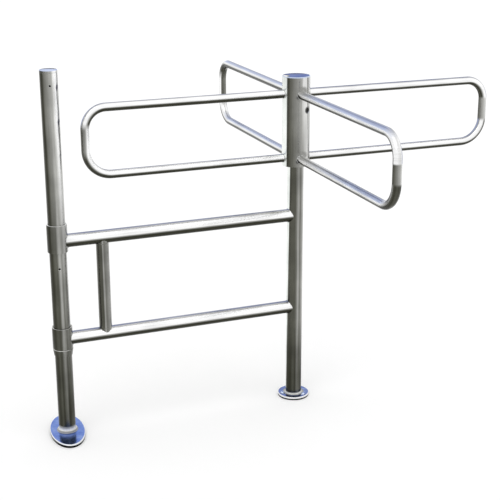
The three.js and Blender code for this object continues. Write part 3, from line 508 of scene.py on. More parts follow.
def polished_tube(name, foot_streaks, middle_streaks, top_streaks, strip_shares=(-1.3, -1.3),
                  climbs=((0.1, 0.5), (0.5, 0.95)), lip_shares=((-1, "white"), (1, "white")),
                  lip_span=(-HEAD_RADIUS, HEAD_RADIUS), lip_sheen=1.0, specular=0.5,
                  side=SIDE, wavy_line=False, pale_above=2.0, crossing_streaks=CROSS_ARM_STREAK_SHARES):
    """Polished tube whose painted reflection streaks follow its own normals. Upright, it has three sets of
    streaks, which turn into each other over the two climbs, in metres; strip_shares are how far across
    from the left edge a pale band of painted reflection runs, at a post's foot and at its top. The lip
    is its cut end, whose painted reflection colours run over a span from back to front; a wavy line is
    a painted dark reflection near the right edge, high up; and the tube is pale above a height, a
    painted reflection on its rounded edge."""
    material, tree, shader, point, normal = new_material(name)

    def facing(direction):
        dot = add(tree, "ShaderNodeVectorMath", {0: normal, 1: direction}, operation="DOT_PRODUCT")
        return dot.outputs["Value"]

    def noise(scale, detail):
        stretched = add(tree, "ShaderNodeVectorMath", {0: point, 1: scale}, operation="MULTIPLY").outputs[0]
        pattern = add(tree, "ShaderNodeTexNoise", {"Vector": stretched, "Scale": 1.0, "Detail": detail})
        return pattern.outputs["Fac"]

    def streaks(across, waviness, reach, shares):
        wander = add(tree, "ShaderNodeMath", {0: waviness, 1: reach, 2: across}, operation="MULTIPLY_ADD")
        place = add(tree, "ShaderNodeMapRange", {0: wander.outputs[0], 1: reach / 2 - 1, 2: reach / 2 + 1})
        return add(tree, "ShaderNodeValToRGB", {0: place.outputs[0]}, shading(shares)).outputs[0]

    height = add(tree, "ShaderNodeSeparateXYZ", {0: point}).outputs["Z"]
    marks = {}
    for mark in TUBE_MARKS:
        marks[mark] = add(tree, "ShaderNodeAttribute", attribute_name=mark).outputs["Fac"]
    upright = marks["upright"]

    # Waviness of drawn tube: bands 6 mm wide and about 200 mm long along the tube
    upright_waves = noise((150, 150, 6), 2.0)
    level_waves = noise((7, 7, 120), 2.0)
    sideways = facing(side)
    foot = streaks(sideways, upright_waves, STREAK_WIDTH_SHARE, foot_streaks)
    middle = streaks(sideways, upright_waves, STREAK_WIDTH_SHARE, middle_streaks)
    top = streaks(sideways, upright_waves, STREAK_WIDTH_SHARE, top_streaks)
    lower_climb, upper_climb = [
        add(tree, "ShaderNodeMapRange", {0: height, 1: start, 2: end}).outputs[0] for start, end in climbs]
    standing = layered(tree, foot, (middle, lower_climb), (top, upper_climb))

    # Painted reflection: a pale band down the left side of the turnstile post and head, wider near the
    # top. Over it go painted shade round the head's lock and arm roots and, on the guide post, a wavy
    # painted dark reflection
    reach = add(tree, "ShaderNodeMapRange",
                {0: height, 1: 0.0, 2: 0.8, 3: strip_shares[0], 4: strip_shares[1]})
    past = add(tree, "ShaderNodeMath", {0: reach.outputs[0], 1: sideways}, operation="SUBTRACT")
    strip = add(tree, "ShaderNodeMapRange", {0: past.outputs[0], 1: -0.03, 2: 0.03}).outputs[0]
    standing = layered(tree, standing, (linear(REFLECTED_STRIP_COLOUR), strip), (linear(PAINTED_SHADE_COLOUR), marks["seam"]))
    if wavy_line:
        line = wavy_dark_reflection(tree, height, sideways)
        standing = layered(tree, standing, (linear(WAVY_REFLECTION_COLOUR), line))

    # Painted reflections on level runs, bends, the runs that point at the front or the back, and these
    # next to the head
    lying = streaks(marks["lift"], level_waves, LEVEL_WIDTH_SHARE, RAIL_STREAK_SHARES)
    section = add(tree, "ShaderNodeCombineXYZ", {0: marks["lift"], 1: sideways, 2: height}).outputs[0]
    grooves = add(tree, "ShaderNodeTexNoise", {"Vector": section, "Scale": 9.0, "Detail": 3.0})
    bend = streaks(marks["lift"], grooves.outputs["Fac"], STREAK_WIDTH_SHARE, BEND_STREAK_SHARES)
    lying = layered(tree, lying, (bend, marks["bent"]))
    edges = add(tree, "ShaderNodeMapRange", {0: sideways, 1: -1.0, 2: 1.0}).outputs[0]
    edges = add(tree, "ShaderNodeValToRGB", {0: edges}, shading(BEND_EDGE_SHARES)).outputs[0]
    lying = add(tree, "ShaderNodeMix", {0: marks["edged"], 6: lying, 7: edges}, data_type="RGBA",
                blend_type="MULTIPLY").outputs[2]
    lifted = facing(CROSS_LIFT)
    crossing = streaks(lifted, level_waves, LEVEL_WIDTH_SHARE, crossing_streaks)
    # Near an arm's root the dark underside is widened, as painted shade
    lowered = add(tree, "ShaderNodeMath", {0: marks["root"], 1: -0.34, 2: lifted}, operation="MULTIPLY_ADD")
    root_waves = noise((60, 12, 60), 3.0)
    root = streaks(lowered.outputs[0], root_waves, 2 * STREAK_WIDTH_SHARE, ARM_ROOT_STREAK_SHARES)
    crossing = layered(tree, crossing, (root, marks["near_head"]))
    tone = layered(tree, lying, (crossing, marks["crossing"]), (standing, upright))

    # Cut end: a pale painted reflection on the rounded edge, then the flat ring, painted with the lip's
    # reflection colours from back to front
    depth = add(tree, "ShaderNodeVectorMath", {0: point, 1: FRONT}, operation="DOT_PRODUCT").outputs["Value"]
    from_back = add(tree, "ShaderNodeMapRange", {0: depth, 1: lip_span[0], 2: lip_span[1]}).outputs[0]
    lip = add(tree, "ShaderNodeValToRGB", {0: from_back}, shading(lip_shares)).outputs[0]
    tilt = add(tree, "ShaderNodeMapRange", {0: facing((0, 0, 1)), 1: 0.25, 2: 0.5}).outputs[0]
    flat_end = add(tree, "ShaderNodeMath", {0: tilt, 1: upright}, operation="MULTIPLY")
    rounded = add(tree, "ShaderNodeMapRange", {0: height, 1: pale_above, 2: pale_above + 1 * MM}).outputs[0]
    tone = layered(tree, tone, (lip, flat_end.outputs[0]), (linear(EDGE_REFLECTION_COLOUR), rounded))
    tone, sheen = mirrored_foot(tree, tone)
    dulled = add(tree, "ShaderNodeMapRange", {0: marks["near_head"], 3: 1.0, 4: 0.3}).outputs[0]
    sheen = add(tree, "ShaderNodeMath", {0: sheen, 1: dulled}, operation="MULTIPLY").outputs[0]
    dulled = add(tree, "ShaderNodeMapRange", {0: flat_end.outputs[0], 3: 1.0, 4: lip_sheen}).outputs[0]
    sheen = add(tree, "ShaderNodeMath", {0: sheen, 1: dulled}, operation="MULTIPLY").outputs[0]
    shader.inputs["Specular IOR Level"].default_value = specular

    # Slow drift of the mirrored surroundings, about 100 mm long, then buffing lines 0.4 mm apart,
    # drawn three times coarser than real so that they show
    drift = noise((9, 9, 9), 3.0)
    calm = add(tree, "ShaderNodeMapRange", {0: drift, 1: 0.3, 2: 0.7, 3: 0.42, 4: 0.58}).outputs[0]
    drift = add(tree, "ShaderNodeMix", {0: upright, 2: calm, 3: drift}).outputs[0]
    level_lines = noise((14, 14, 900), 3.0)
    upright_lines = noise((900, 900, 14), 3.0)
    fine = add(tree, "ShaderNodeMix", {0: upright, 2: level_lines, 3: upright_lines}).outputs[0]
    for pattern, depth_share in ((drift, 0.24), (fine, 0.12)):
        weight = add(tree, "ShaderNodeMapRange",
                     {0: pattern, 1: 0.3, 2: 0.7, 3: 1 - depth_share, 4: 1 + depth_share})
        tone = add(tree, "ShaderNodeMix", {0: 1.0, 6: tone, 7: weight.outputs[0]}, data_type="RGBA",
                   blend_type="MULTIPLY").outputs[2]
    polish = add(tree, "ShaderNodeMath", {0: drift, 1: 0.14, 2: 0.13}, operation="MULTIPLY_ADD").outputs[0]
    worn = add(tree, "ShaderNodeMath", {0: fine, 1: 0.1, 2: polish}, operation="MULTIPLY_ADD").outputs[0]
    bump = add(tree, "ShaderNodeBump", {"Height": fine, "Strength": 0.06, "Distance": 0.0002}).outputs[0]
    tree.links.new(sheen, shader.inputs["Metallic"])
    tree.links.new(tone, shader.inputs["Base Color"])
    tree.links.new(worn, shader.inputs["Roughness"])
    tree.links.new(bump, shader.inputs["Normal"])
    return material


def polished_plate(name, top_shares, rim, dark_below, back="1c2a60", metal=1.0, specular=0.5, lean=(0, 0)):
    """Bright polished stainless plate with painted reflections: the flat face is painted the blue of a
    mirrored sky, the rounded rim is near white, and below it the edge has painted shade where it
    faces the ground, higher up against the lean. The shaded mark takes the face towards the colour of
    its back, as painted shade."""
    material, tree, shader, point, normal = new_material(name)
    height = add(tree, "ShaderNodeSeparateXYZ", {0: point}).outputs["Z"]
    facing_up = add(tree, "ShaderNodeSeparateXYZ", {0: normal}).outputs["Z"]
    # Cloudy patches about 20 mm across in the mirrored sky
    cloud = add(tree, "ShaderNodeTexNoise", {"Vector": point, "Scale": 48.0, "Detail": 3.0}).outputs["Fac"]
    sky = add(tree, "ShaderNodeValToRGB", {0: cloud}, list(top_shares)).outputs[0]
    flat = add(tree, "ShaderNodeMapRange", {0: facing_up, 1: 0.9, 2: 0.995}).outputs[0]
    shaded = add(tree, "ShaderNodeAttribute", attribute_name="shaded").outputs["Fac"]
    sky = layered(tree, sky, (linear(back), shaded))
    tone = layered(tree, linear(rim), (sky, flat))
    leant = add(tree, "ShaderNodeVectorMath", {0: point, 1: (*lean, 1.0)}, operation="DOT_PRODUCT")
    upper = add(tree, "ShaderNodeMapRange",
                {0: leant.outputs["Value"], 1: dark_below - 1 * MM, 2: dark_below + 0.4 * MM})
    tone = layered(tree, linear(GROUND_SHADE_COLOUR), (tone, upper.outputs[0]))
    tone, sheen = mirrored_foot(tree, tone)
    sheen = add(tree, "ShaderNodeMath", {0: sheen, 1: metal}, operation="MULTIPLY").outputs[0]
    shader.inputs["Specular IOR Level"].default_value = specular
    grain = add(tree, "ShaderNodeTexNoise", {"Vector": point, "Scale": 700.0, "Detail": 3.0}).outputs["Fac"]
    rough = add(tree, "ShaderNodeMapRange", {0: grain, 1: 0.3, 2: 0.7, 3: 0.12, 4: 0.26}).outputs[0]
    bump = add(tree, "ShaderNodeBump", {"Height": cloud, "Strength": 0.08, "Distance": 0.0008}).outputs[0]
    tree.links.new(sheen, shader.inputs["Metallic"])
    tree.links.new(tone, shader.inputs["Base Color"])
    tree.links.new(rough, shader.inputs["Roughness"])
    tree.links.new(bump, shader.inputs["Normal"])
    return material


def turned_metal(name, dark, light, metallic, roughness, groove, face_shade_shares=None):
    """A machined or moulded finish: two tones in fine noise, and rings as the tool leaves them, a
    groove's spacing apart in height. A face's painted shade runs from the lock's lower edge to its upper."""
    material, tree, shader, point, normal = new_material(name)
    rings = add(tree, "ShaderNodeVectorMath", {0: point, 1: (60, 60, 1 / groove)}, operation="MULTIPLY")
    lines = add(tree, "ShaderNodeTexNoise", {"Vector": rings.outputs[0], "Scale": 1.0, "Detail": 2.0})
    lines = lines.outputs["Fac"]
    tone = add(tree, "ShaderNodeValToRGB", {0: lines}, [(0.3, dark), (0.7, light)]).outputs[0]
    if face_shade_shares:
        height = add(tree, "ShaderNodeSeparateXYZ", {0: point}).outputs["Z"]
        rise = add(tree, "ShaderNodeMapRange",
                   {0: height, 1: LOCK_HEIGHT - LOCK_RADIUS, 2: LOCK_HEIGHT + LOCK_RADIUS})
        shade = add(tree, "ShaderNodeValToRGB", {0: rise.outputs[0]}, shading(face_shade_shares)).outputs[0]
        tone = layered(tree, tone, (shade, 0.8))
    rough = add(tree, "ShaderNodeMapRange", {0: lines, 3: roughness * 0.8, 4: roughness * 1.3}).outputs[0]
    bump = add(tree, "ShaderNodeBump", {"Height": lines, "Strength": 0.15, "Distance": 0.0001}).outputs[0]
    shader.inputs["Metallic"].default_value = metallic
    tree.links.new(tone, shader.inputs["Base Color"])
    tree.links.new(rough, shader.inputs["Roughness"])
    tree.links.new(bump, shader.inputs["Normal"])
    return material


# Turning head, a wide stainless tube, drawn and buffed lengthwise: broad soft streaks of painted
# reflection, a pale painted reflection down its left side, and a rounded top edge painted with the sky
# it mirrors
head_tube = polished_tube(
    "buffed_stainless_head", HEAD_FOOT_STREAK_SHARES, HEAD_FOOT_STREAK_SHARES, HEAD_STREAK_SHARES,
    strip_shares=(-0.68, -0.68), climbs=((0.1, 0.5), (0.84, 1.0)),
    lip_shares=((-1, "dark"), (-0.3, "night_blue"), (0.4, "sky_blue"), (1, "light")),
    pale_above=HEAD_TOP - 3 * MM)

# Posts, drawn stainless tube buffed lengthwise: narrow streaks of painted reflection, dark near the
# ground and paler above
post_tube = polished_tube(
    "buffed_stainless_post", POST_FOOT_STREAK_SHARES, POST_MIDDLE_STREAK_SHARES, POST_STREAK_SHARES,
    strip_shares=(-0.97, -0.66), climbs=((0.08, 0.3), (0.5, 0.95)))
GUIDE_SETS = (GUIDE_FOOT_STREAK_SHARES, GUIDE_MIDDLE_STREAK_SHARES, GUIDE_STREAK_SHARES)
guide_tube = polished_tube("buffed_stainless_guide", *GUIDE_SETS, side=GUIDE_SIDE, wavy_line=True)

# Lower sleeve and collar, the same tube with a duller painted reflection on its cut end, darker at
# the back
collar_tube = polished_tube(
    "buffed_stainless_collar", *GUIDE_SETS, side=GUIDE_SIDE,
    lip_shares=((-1, "soft"), (0, "soft"), (0.2, "pale"), (1, "pale")), lip_span=COLLAR_LIP_SPAN)

# Baluster, the same tube, painted darker as in the shade of the rails: one pale streak of painted
# reflection down its middle
baluster_tube = polished_tube(
    "buffed_stainless_baluster", *3 * (BALUSTER_STREAK_SHARES,), side=GUIDE_SIDE,
    lip_shares=((-1, "earth"), (1, "mid")))

# Rails and arms, buffed all round, with painted reflections: white above, dark below, and greyer
# where an arm's end stands up
rail_tube = polished_tube("buffed_stainless_rail", *3 * (ARM_END_STREAK_SHARES,), side=ARM_SIDE)
arm_tubes = {
    "arm_right": polished_tube(
        "buffed_stainless_right_arm", *3 * (RIGHT_ARM_END_STREAK_SHARES,), side=ARM_SIDE),
    "arm_front": rail_tube,
    "arm_left": polished_tube(
        "buffed_stainless_left_arm", *3 * (LEFT_ARM_END_STREAK_SHARES,), side=GUIDE_SIDE),
    "arm_rear": polished_tube(
        "buffed_stainless_rear_arm", *3 * (REAR_ARM_END_STREAK_SHARES,),
        crossing_streaks=REAR_ARM_STREAK_SHARES),
}

# Foot cover, flange and caps, mirror-polished stainless plate with painted reflections: flat faces
# are painted the blue of a mirrored sky and rounded rims near white. The head's cap has the least
# metal in it, so it keeps its painted blue.
FOOT_LEAN = (0.03, 0.01)
foot_plate_steel = polished_plate(
    "mirror_stainless_foot", ((0.3, "5474c2"), (0.5, "6482cc"), (0.7, "8098d4")), "f0f2f6",
    6 * MM + FOOT_LEAN[0] * GUIDE_X, lean=FOOT_LEAN)
flange_steel = polished_plate(
    "mirror_stainless_flange", ((0.3, "3c5490"), (0.5, "5a70ae"), (0.7, "8094c8")), "f4f4f6", 5 * MM)
cap_steel = polished_plate(
    "mirror_stainless_cap", ((0.3, "4e62a2"), (0.5, "5a6eac"), (0.7, "6a7cb6")), "b4c4e4", -1.0,
    "4e5068", metal=0.2, specular=0.0)
guide_cap_steel = polished_tube(
    "mirror_stainless_guide_cap", *3 * (GUIDE_STREAK_SHARES,), side=GUIDE_SIDE,
    lip_shares=((-1, "dark"), (-0.5, "earth"), (-0.2, "dusk_blue"), (0.3, "sky_blue"), (1, "sky_blue")),
    lip_span=GUIDE_CAP_SPAN, lip_sheen=0.1, specular=0.0)

# Zinc-plated bolts: cold and bright, with the fine rings of a formed head
bolt_steel = turned_metal("zinc_plated_bolt", "a8bce8", "f0f6ff", 1.0, 0.16, 0.3 * MM)

# Turned tool steel of spindle, wheel and pawls: mid grey, with tool marks 0.2 mm apart
tool_steel = turned_metal("turned_tool_steel", "74767a", "a2a4a8", 1.0, 0.32, 0.2 * MM)

# Drawn spring wire: darker, from its heat treatment, and smoother
spring_steel = turned_metal("drawn_spring_wire", "5c5e62", "84868a", 1.0, 0.28, 0.3 * MM)

# Turned brass: dull gold with fine rings
brass = turned_metal("turned_brass", "a07e38", "c4a458", 1.0, 0.3, 0.2 * MM)

# The lock: a black-lacquered plunger, half matt, in a ring of polished steel; both have painted
# shade, darkest low on the face and lighter towards its top
LOCK_FACE_SHADE_SHARES = ((-1, "earth"), (-0.6, "pit"), (0, "dark"), (0.4, "earth"), (1, "mid"))
black_lacquer = turned_metal("black_lacquered_lock", "101012", "2c2c30", 0.0, 0.4, 0.5 * MM,
                             face_shade_shares=LOCK_FACE_SHADE_SHARES)
lock_ring = turned_metal("polished_lock_barrel", "6c6e76", "9c9ea6", 0.2, 0.4, 0.4 * MM,
                         face_shade_shares=LOCK_FACE_SHADE_SHARES)

# White acetal bushes: off-white plastic with a soft sheen and fine turning rings
acetal = turned_metal("white_acetal_bush", "dcdad2", "efede6", 0.0, 0.5, 0.2 * MM)

# Ground and polished weld: bright, with ripples about 1.2 mm apart
weld_steel = turned_metal("polished_weld_bead", "84857e", "d4d6d6", 1.0, 0.3, 1.2 * MM)

# Every solid of the frame gets its slot's material; the ones replaced below stay hidden
SLOT_FINISHES = {
    "polished_steel": guide_tube, "plate_steel": foot_plate_steel, "bolt_steel": bolt_steel,
    "tool_steel": tool_steel, "spring_steel": spring_steel, "brass": brass,
    "black_lock": black_lacquer, "acetal": acetal,
}
for part in frame["record"]["subparts"]:
    finish = SLOT_FINISHES[part["material_slot"]]
    solid = frame["nodes"][part["node"]]
    for place in solid.material_slots:
        place.material = finish


# Springs, copied from their solids
def spring_copy(name, node):
    """The spring's own solid with its doubled points merged."""
    mesh = frame["nodes"][node].data.copy()
    shape = bmesh.new()
    shape.from_mesh(mesh)
    bmesh.ops.remove_doubles(shape, verts=shape.verts, dist=WELD_DISTANCE)
    shape.to_mesh(mesh)
    shape.free()
    made = bpy.data.objects.new(name, mesh)
    bpy.context.scene.collection.objects.link(made)
    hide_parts(node)
    return made


for side in ("1", "2"):
    low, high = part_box(f"pawl_spring_{side}")
    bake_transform(spring_copy(f"pawl_torsion_coil_{side}", f"pawl_spring_{side}"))

lock_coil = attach(spring_copy("lock_return_coil", "lock_spring"), "head")
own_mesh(lock_coil)

def foot_glint(plate_top, tallest):
    """Mark for a post's foot, the same all round: a painted reflection of the bright plate it stands on.
    It is full at the plate and falls evenly to nothing at the tallest."""
    return lambda places: np.clip(1.1 * (1 - (places[:, 2] - plate_top) / tallest), 0, 1)


def plate_glint(x, top, reach):
    """Mark for a plate's top, the same all round: a pale ring of painted reflection round the post, where
    the plate mirrors its foot. It falls evenly to nothing over a reach."""
    def mark(places):
        away = np.hypot(*(places[:, :2] - (x, 0)).T) - POST_RADIUS
        return 0.9 * np.clip(1 - away / reach, 0, 1) * (places[:, 2] > top - 1 * MM)
    return mark


def round_bolts(places):
    """Mark for the flange: painted shade as a dark ring round each bolt's head, fading out over 4 mm."""
    bearings = np.radians(BOLT_AZIMUTHS)
    centres = BOLT_CIRCLE * np.column_stack((np.cos(bearings), np.sin(bearings)))
    nearest = np.min([np.hypot(*(places[:, :2] - centre).T) for centre in centres], axis=0)
    return 0.8 * np.clip(1 - (nearest - BOLT_HEAD) / (4 * MM), 0, 1)


def back_of(x, y, radius, start_share):
    """Mark for a cap: 0 up to a share of its radius behind its middle, seen from the front left, then
    up to 1 at the back."""
    way = np.array(FRONT[:2])

    def mark(places):
        behind = (places[:, :2] - (x, y)) @ -way / radius
        return np.clip((behind - start_share) / (1 - start_share), 0, 1)
    return mark


# Turnstile post: straight tube, with rows close together near the foot for its ring of painted
# reflection
FOOT_ROWS = np.linspace(0, 45, 31) * MM
outer, inner = edged_profile(POST_RADIUS, POST_BORE, FLANGE_THICKNESS + SEAT_GAP, POST_TOP, 0.3 * MM)
post_wall = drilled_tube(outer, inner, (), 0.0, extra=FLANGE_THICKNESS + 1 * MM + FOOT_ROWS)
piece("turnstile_post_tube", post_wall, post_tube, "frame", "polished_steel", "turnstile_post",
      upright=everywhere(1.0),
      glint=foot_glint(FLANGE_THICKNESS, 7 * MM))

# Guide post with its two drilled holes
outer, inner = edged_profile(POST_RADIUS, POST_BORE, 5.3 * MM, GUIDE_TOP - GUIDE_CAP - SEAT_GAP, 0.2 * MM)
pin_holes = [(height, PIN_HOLE_RADIUS) for height in PIN_HOLE_HEIGHTS]
guide_wall = drilled_tube(outer, inner, pin_holes, PIN_HOLE_AZIMUTH, GUIDE_X, extra=NECK_TOP + FOOT_ROWS)
piece("guide_post_tube", guide_wall, guide_tube, "frame", "polished_steel", "guide_post",
      upright=everywhere(1.0),
      glint=foot_glint(NECK_TOP, 16 * MM))

# Guide post cap: a pressed cap with a crowned top, rounded shoulder and a plug below
cap_seat = GUIDE_TOP - GUIDE_CAP
plug = POST_BORE - SEAT_GAP
crown_height = 1 * MM
crown = [(radius, GUIDE_TOP - crown_height * (radius / (POST_RADIUS - CAP_SHOULDER)) ** 2)
         for radius in np.linspace(POST_RADIUS - CAP_SHOULDER, 0, 7)]
cap_profile = [(0, cap_seat - 20 * MM), (plug - 1 * MM, cap_seat - 20 * MM), (plug, cap_seat - 19 * MM),
               (plug, cap_seat), (POST_RADIUS - 0.2 * MM, cap_seat), (POST_RADIUS, cap_seat + 0.2 * MM)]
shoulder = (POST_RADIUS - CAP_SHOULDER, GUIDE_TOP - crown_height - CAP_SHOULDER)
cap_profile += arc(shoulder, CAP_SHOULDER, 0, 90)
cap_profile += crown[1:]
piece("guide_post_end_cap", [cells(turned(cap_profile, x=GUIDE_X))], guide_cap_steel, "frame",
      "polished_steel", "guide_post_cap", upright=everywhere(1.0))

# Sleeves, support collar and their grub screws
for name, (bottom, top) in SLEEVES.items():
    outer, inner = edged_profile(SLEEVE_RADIUS, SLEEVE_BORE, bottom, top, 0.8 * MM)
    hole = ((bottom + top) / 2, SCREW_RADIUS + SEAT_GAP)
    finish = guide_tube if name == "upper_sleeve" else collar_tube
    piece(f"{name}_tube", drilled_tube(outer, inner, [hole], TURN / 4, GUIDE_X), finish, "frame",
          "polished_steel", name, upright=everywhere(1.0))
bottom, top = COLLAR
outer = [(COLLAR_TOE - 0.3 * MM, bottom), (COLLAR_TOE, bottom + 0.3 * MM)]
outer += [(SLEEVE_RADIUS, top - COLLAR_LAND), (SLEEVE_RADIUS, top - COLLAR_BEVEL),
          (SLEEVE_RADIUS - COLLAR_BEVEL, top)]
inner = [(COLLAR_BORE, bottom), (COLLAR_BORE, top)]
hole = ((bottom + top) / 2, SCREW_RADIUS + SEAT_GAP)
piece("support_collar_ring", drilled_tube(outer, inner, [hole], TURN / 4, GUIDE_X), collar_tube, "frame",
      "polished_steel", "support_collar", upright=everywhere(1.0))


def socket_rows(mouth, floor, across_flats, columns):
    """Rows of a hexagon socket: at angle t the hexagon's radius is half the width across flats
    divided by cos of the angle to the nearest flat's middle, and the rows end in its floor's centre."""
    angle = TURN * np.arange(columns) / columns
    sixth = TURN / 6
    to_flat = np.mod(angle, sixth) - sixth / 2
    radius = across_flats / 2 / np.cos(to_flat)
    rows = []
    for share, height in ((1, mouth), (0.97, floor), (0, floor)):
        rows.append(np.stack((share * radius * np.cos(angle), share * radius * np.sin(angle),
                              np.full(columns, height)), axis=-1))
    return np.array(rows)


def grub_screw(outer_end):
    """A headless screw along +Y: a turned pin with bevelled ends and a hexagon socket in the outer one."""
    inner_end = POST_RADIUS + SEAT_GAP
    bevel = 0.4 * MM
    profile = [(0, inner_end), (SCREW_RADIUS - bevel, inner_end), (SCREW_RADIUS, inner_end + bevel),
               (SCREW_RADIUS, outer_end - bevel), (SCREW_RADIUS - bevel, outer_end)]
    rows = np.concatenate((turned(profile, 48), socket_rows(outer_end, outer_end - 2 * MM, 3.6 * MM, 48)))
    along_y = Matrix.Rotation(-TURN / 4, 3, "X")
    return placed(cells(rows), along_y)


for name in ("upper_sleeve_screw", "lower_sleeve_screw", "collar_screw"):
    low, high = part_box(name)
    points, faces = grub_screw(high.y)
    place = (GUIDE_X, 0, (low.z + high.z) / 2)
    piece(f"{name}_socket", [(points + place, faces)], tool_steel, "frame", "bolt_steel", name)

# Rails, coped to the sleeve at one end and to the turnstile post at the other
for name, height in RAIL_HEIGHTS.items():
    ends = ((GUIDE_X, SLEEVE_RADIUS + SEAT_GAP, 1), (0.0, POST_RADIUS + SEAT_GAP, -1))
    outside = coped_rows(RAIL_RADIUS, *ends, SLIM, 24)
    inside = coped_rows(RAIL_BORE, *ends, SLIM, 24)
    wall = np.concatenate((outside, inside[::-1]))
    piece(f"{name}_tube", [cells(wall + (0, 0, height), ring=True)], rail_tube, "frame", "polished_steel",
          name, lift=lambda places, height=height: (places[:, 2] - height) / RAIL_RADIUS)


def baluster_rows(radius):
    """Rows of the upright tube between the rails: its ends lie on the rails' cylinders, at
    rail height + way sqrt(rail radius² - (radius sin t)²)."""
    angle = TURN * np.arange(SLIM) / SLIM
    across = radius * np.sin(angle)
    saddle = np.sqrt((RAIL_RADIUS + SEAT_GAP) ** 2 - across ** 2)
    bottom = RAIL_HEIGHTS["lower_rail"] + saddle
    top = RAIL_HEIGHTS["upper_rail"] - saddle
    height = bottom + (top - bottom) * np.linspace(0, 1, 12)[:, None]
    return np.stack((BALUSTER_X + radius * np.cos(angle) + 0 * height, across + 0 * height, height), axis=-1)


wall = np.concatenate((baluster_rows(BALUSTER_RADIUS), baluster_rows(BALUSTER_BORE)[::-1]))
piece("baluster_tube", [cells(wall, ring=True)], baluster_tube, "frame", "polished_steel", "baluster",
      upright=everywhere(1.0))


def lock_and_root_shade(places):
    """Mark: painted shade round the lock in the head's side, 3 mm wide below it and fainter above, and in
    the lower left corner of the front arm's roots."""
    axis = np.array((math.cos(LOCK_AZIMUTH), math.sin(LOCK_AZIMUTH)))
    out = places[:, :2] @ axis
    sideways = places[:, :2] @ np.array((-axis[1], axis[0]))
    rise = places[:, 2] - LOCK_HEIGHT
    away = np.hypot(sideways, rise) - LOCK_RADIUS
    share = np.where(rise < 0, 0.9, 0.5)
    painted_dark = share * np.clip(1 - away / (3 * MM), 0, 1) * (out > 0)
    azimuth = math.radians(ARM_AZIMUTHS["arm_front"])
    sideways = places[:, :2] @ np.array((-math.sin(azimuth), math.cos(azimuth)))
    forward = places[:, :2] @ np.array((math.cos(azimuth), math.sin(azimuth))) > 0
    for height in (ARM_UPPER, ARM_LOWER):
        away = np.hypot(sideways + ARM_RADIUS * 0.8, places[:, 2] - height + ARM_RADIUS * 0.5) - 3 * MM
        painted_dark = np.maximum(painted_dark, 0.85 * np.clip(1 - away / (5 * MM), 0, 1) * forward)
    return painted_dark


def cap_shade(places):
    """Mark: the shaded back of the head's cap and its left end."""
    across = places @ np.array(SIDE) / CAP_RADIUS
    back = back_of(0.0, 0.0, CAP_RADIUS, 0.2)(places)
    return np.maximum(back, 0.6 * np.clip((-0.62 - across) / 0.08, 0, 1))


def root_glow(places):
    """Mark: the pale patch of painted reflection on the head where it mirrors the roots of the front arm,
    above each root.
    """
    azimuth = math.radians(ARM_AZIMUTHS["arm_front"])
    sideways = places[:, :2] @ np.array((-math.sin(azimuth), math.cos(azimuth)))
    forward = places[:, :2] @ np.array((math.cos(azimuth), math.sin(azimuth))) > 0
    glow = 0.0
    for height in (ARM_UPPER, ARM_LOWER):
        away = np.hypot(sideways - 4 * MM, (places[:, 2] - height - ARM_RADIUS) * 1.4)
        glow = np.maximum(glow, 0.62 * np.clip(1 - away / (22 * MM), 0, 1))
    return glow * forward


def cap_strip(places):
    """Mark: the front left edge of the head's cap, a fifth of its width, painted white as a reflection."""
    across = places @ np.array(SIDE) / CAP_RADIUS
    forward = places @ np.array(FRONT) / CAP_RADIUS
    return np.clip((-0.66 - across) / 0.06, 0, 1) * np.clip((forward + 0.12) / 0.2, 0, 1)


# Head: shell with the lock's hole, and its pressed-in cap
outer, inner = edged_profile(HEAD_RADIUS, HEAD_BORE, HEAD_BOTTOM, HEAD_TOP, HEAD_EDGE)
root_rows = np.concatenate((ARM_UPPER + np.linspace(-20, 44, 20) * MM,
                            ARM_LOWER + np.linspace(-18, 44, 20) * MM))
shell = drilled_tube(outer, inner, [(LOCK_HEIGHT, LOCK_HOLE)], LOCK_AZIMUTH, extra=root_rows)
piece("head_shell_tube", shell, head_tube, "head", "polished_steel", "head_shell", upright=everywhere(1.0),
      seam=lock_and_root_shade, glint=root_glow)
skirt = CAP_RADIUS - 3.5 * MM
under = HEAD_TOP - 3 * MM
cap_profile = [(0, under), (skirt - 1 * MM, under), (skirt, under - 1 * MM), (skirt, under - 12 * MM),
               (CAP_RADIUS - 0.5 * MM, under - 12 * MM), (CAP_RADIUS, under - 11.5 * MM)]
cap_profile += arc((CAP_RADIUS - HEAD_EDGE, HEAD_TOP - HEAD_EDGE), HEAD_EDGE, 0, 90, 4)
cap_profile += [(CAP_RADIUS * share, HEAD_TOP) for share in (0.85, 0.5, 0)]
piece("head_end_cap", [cells(turned(cap_profile))], cap_steel, "head", "polished_steel", "head_cap",
      shaded=cap_shade, glint=cap_strip)


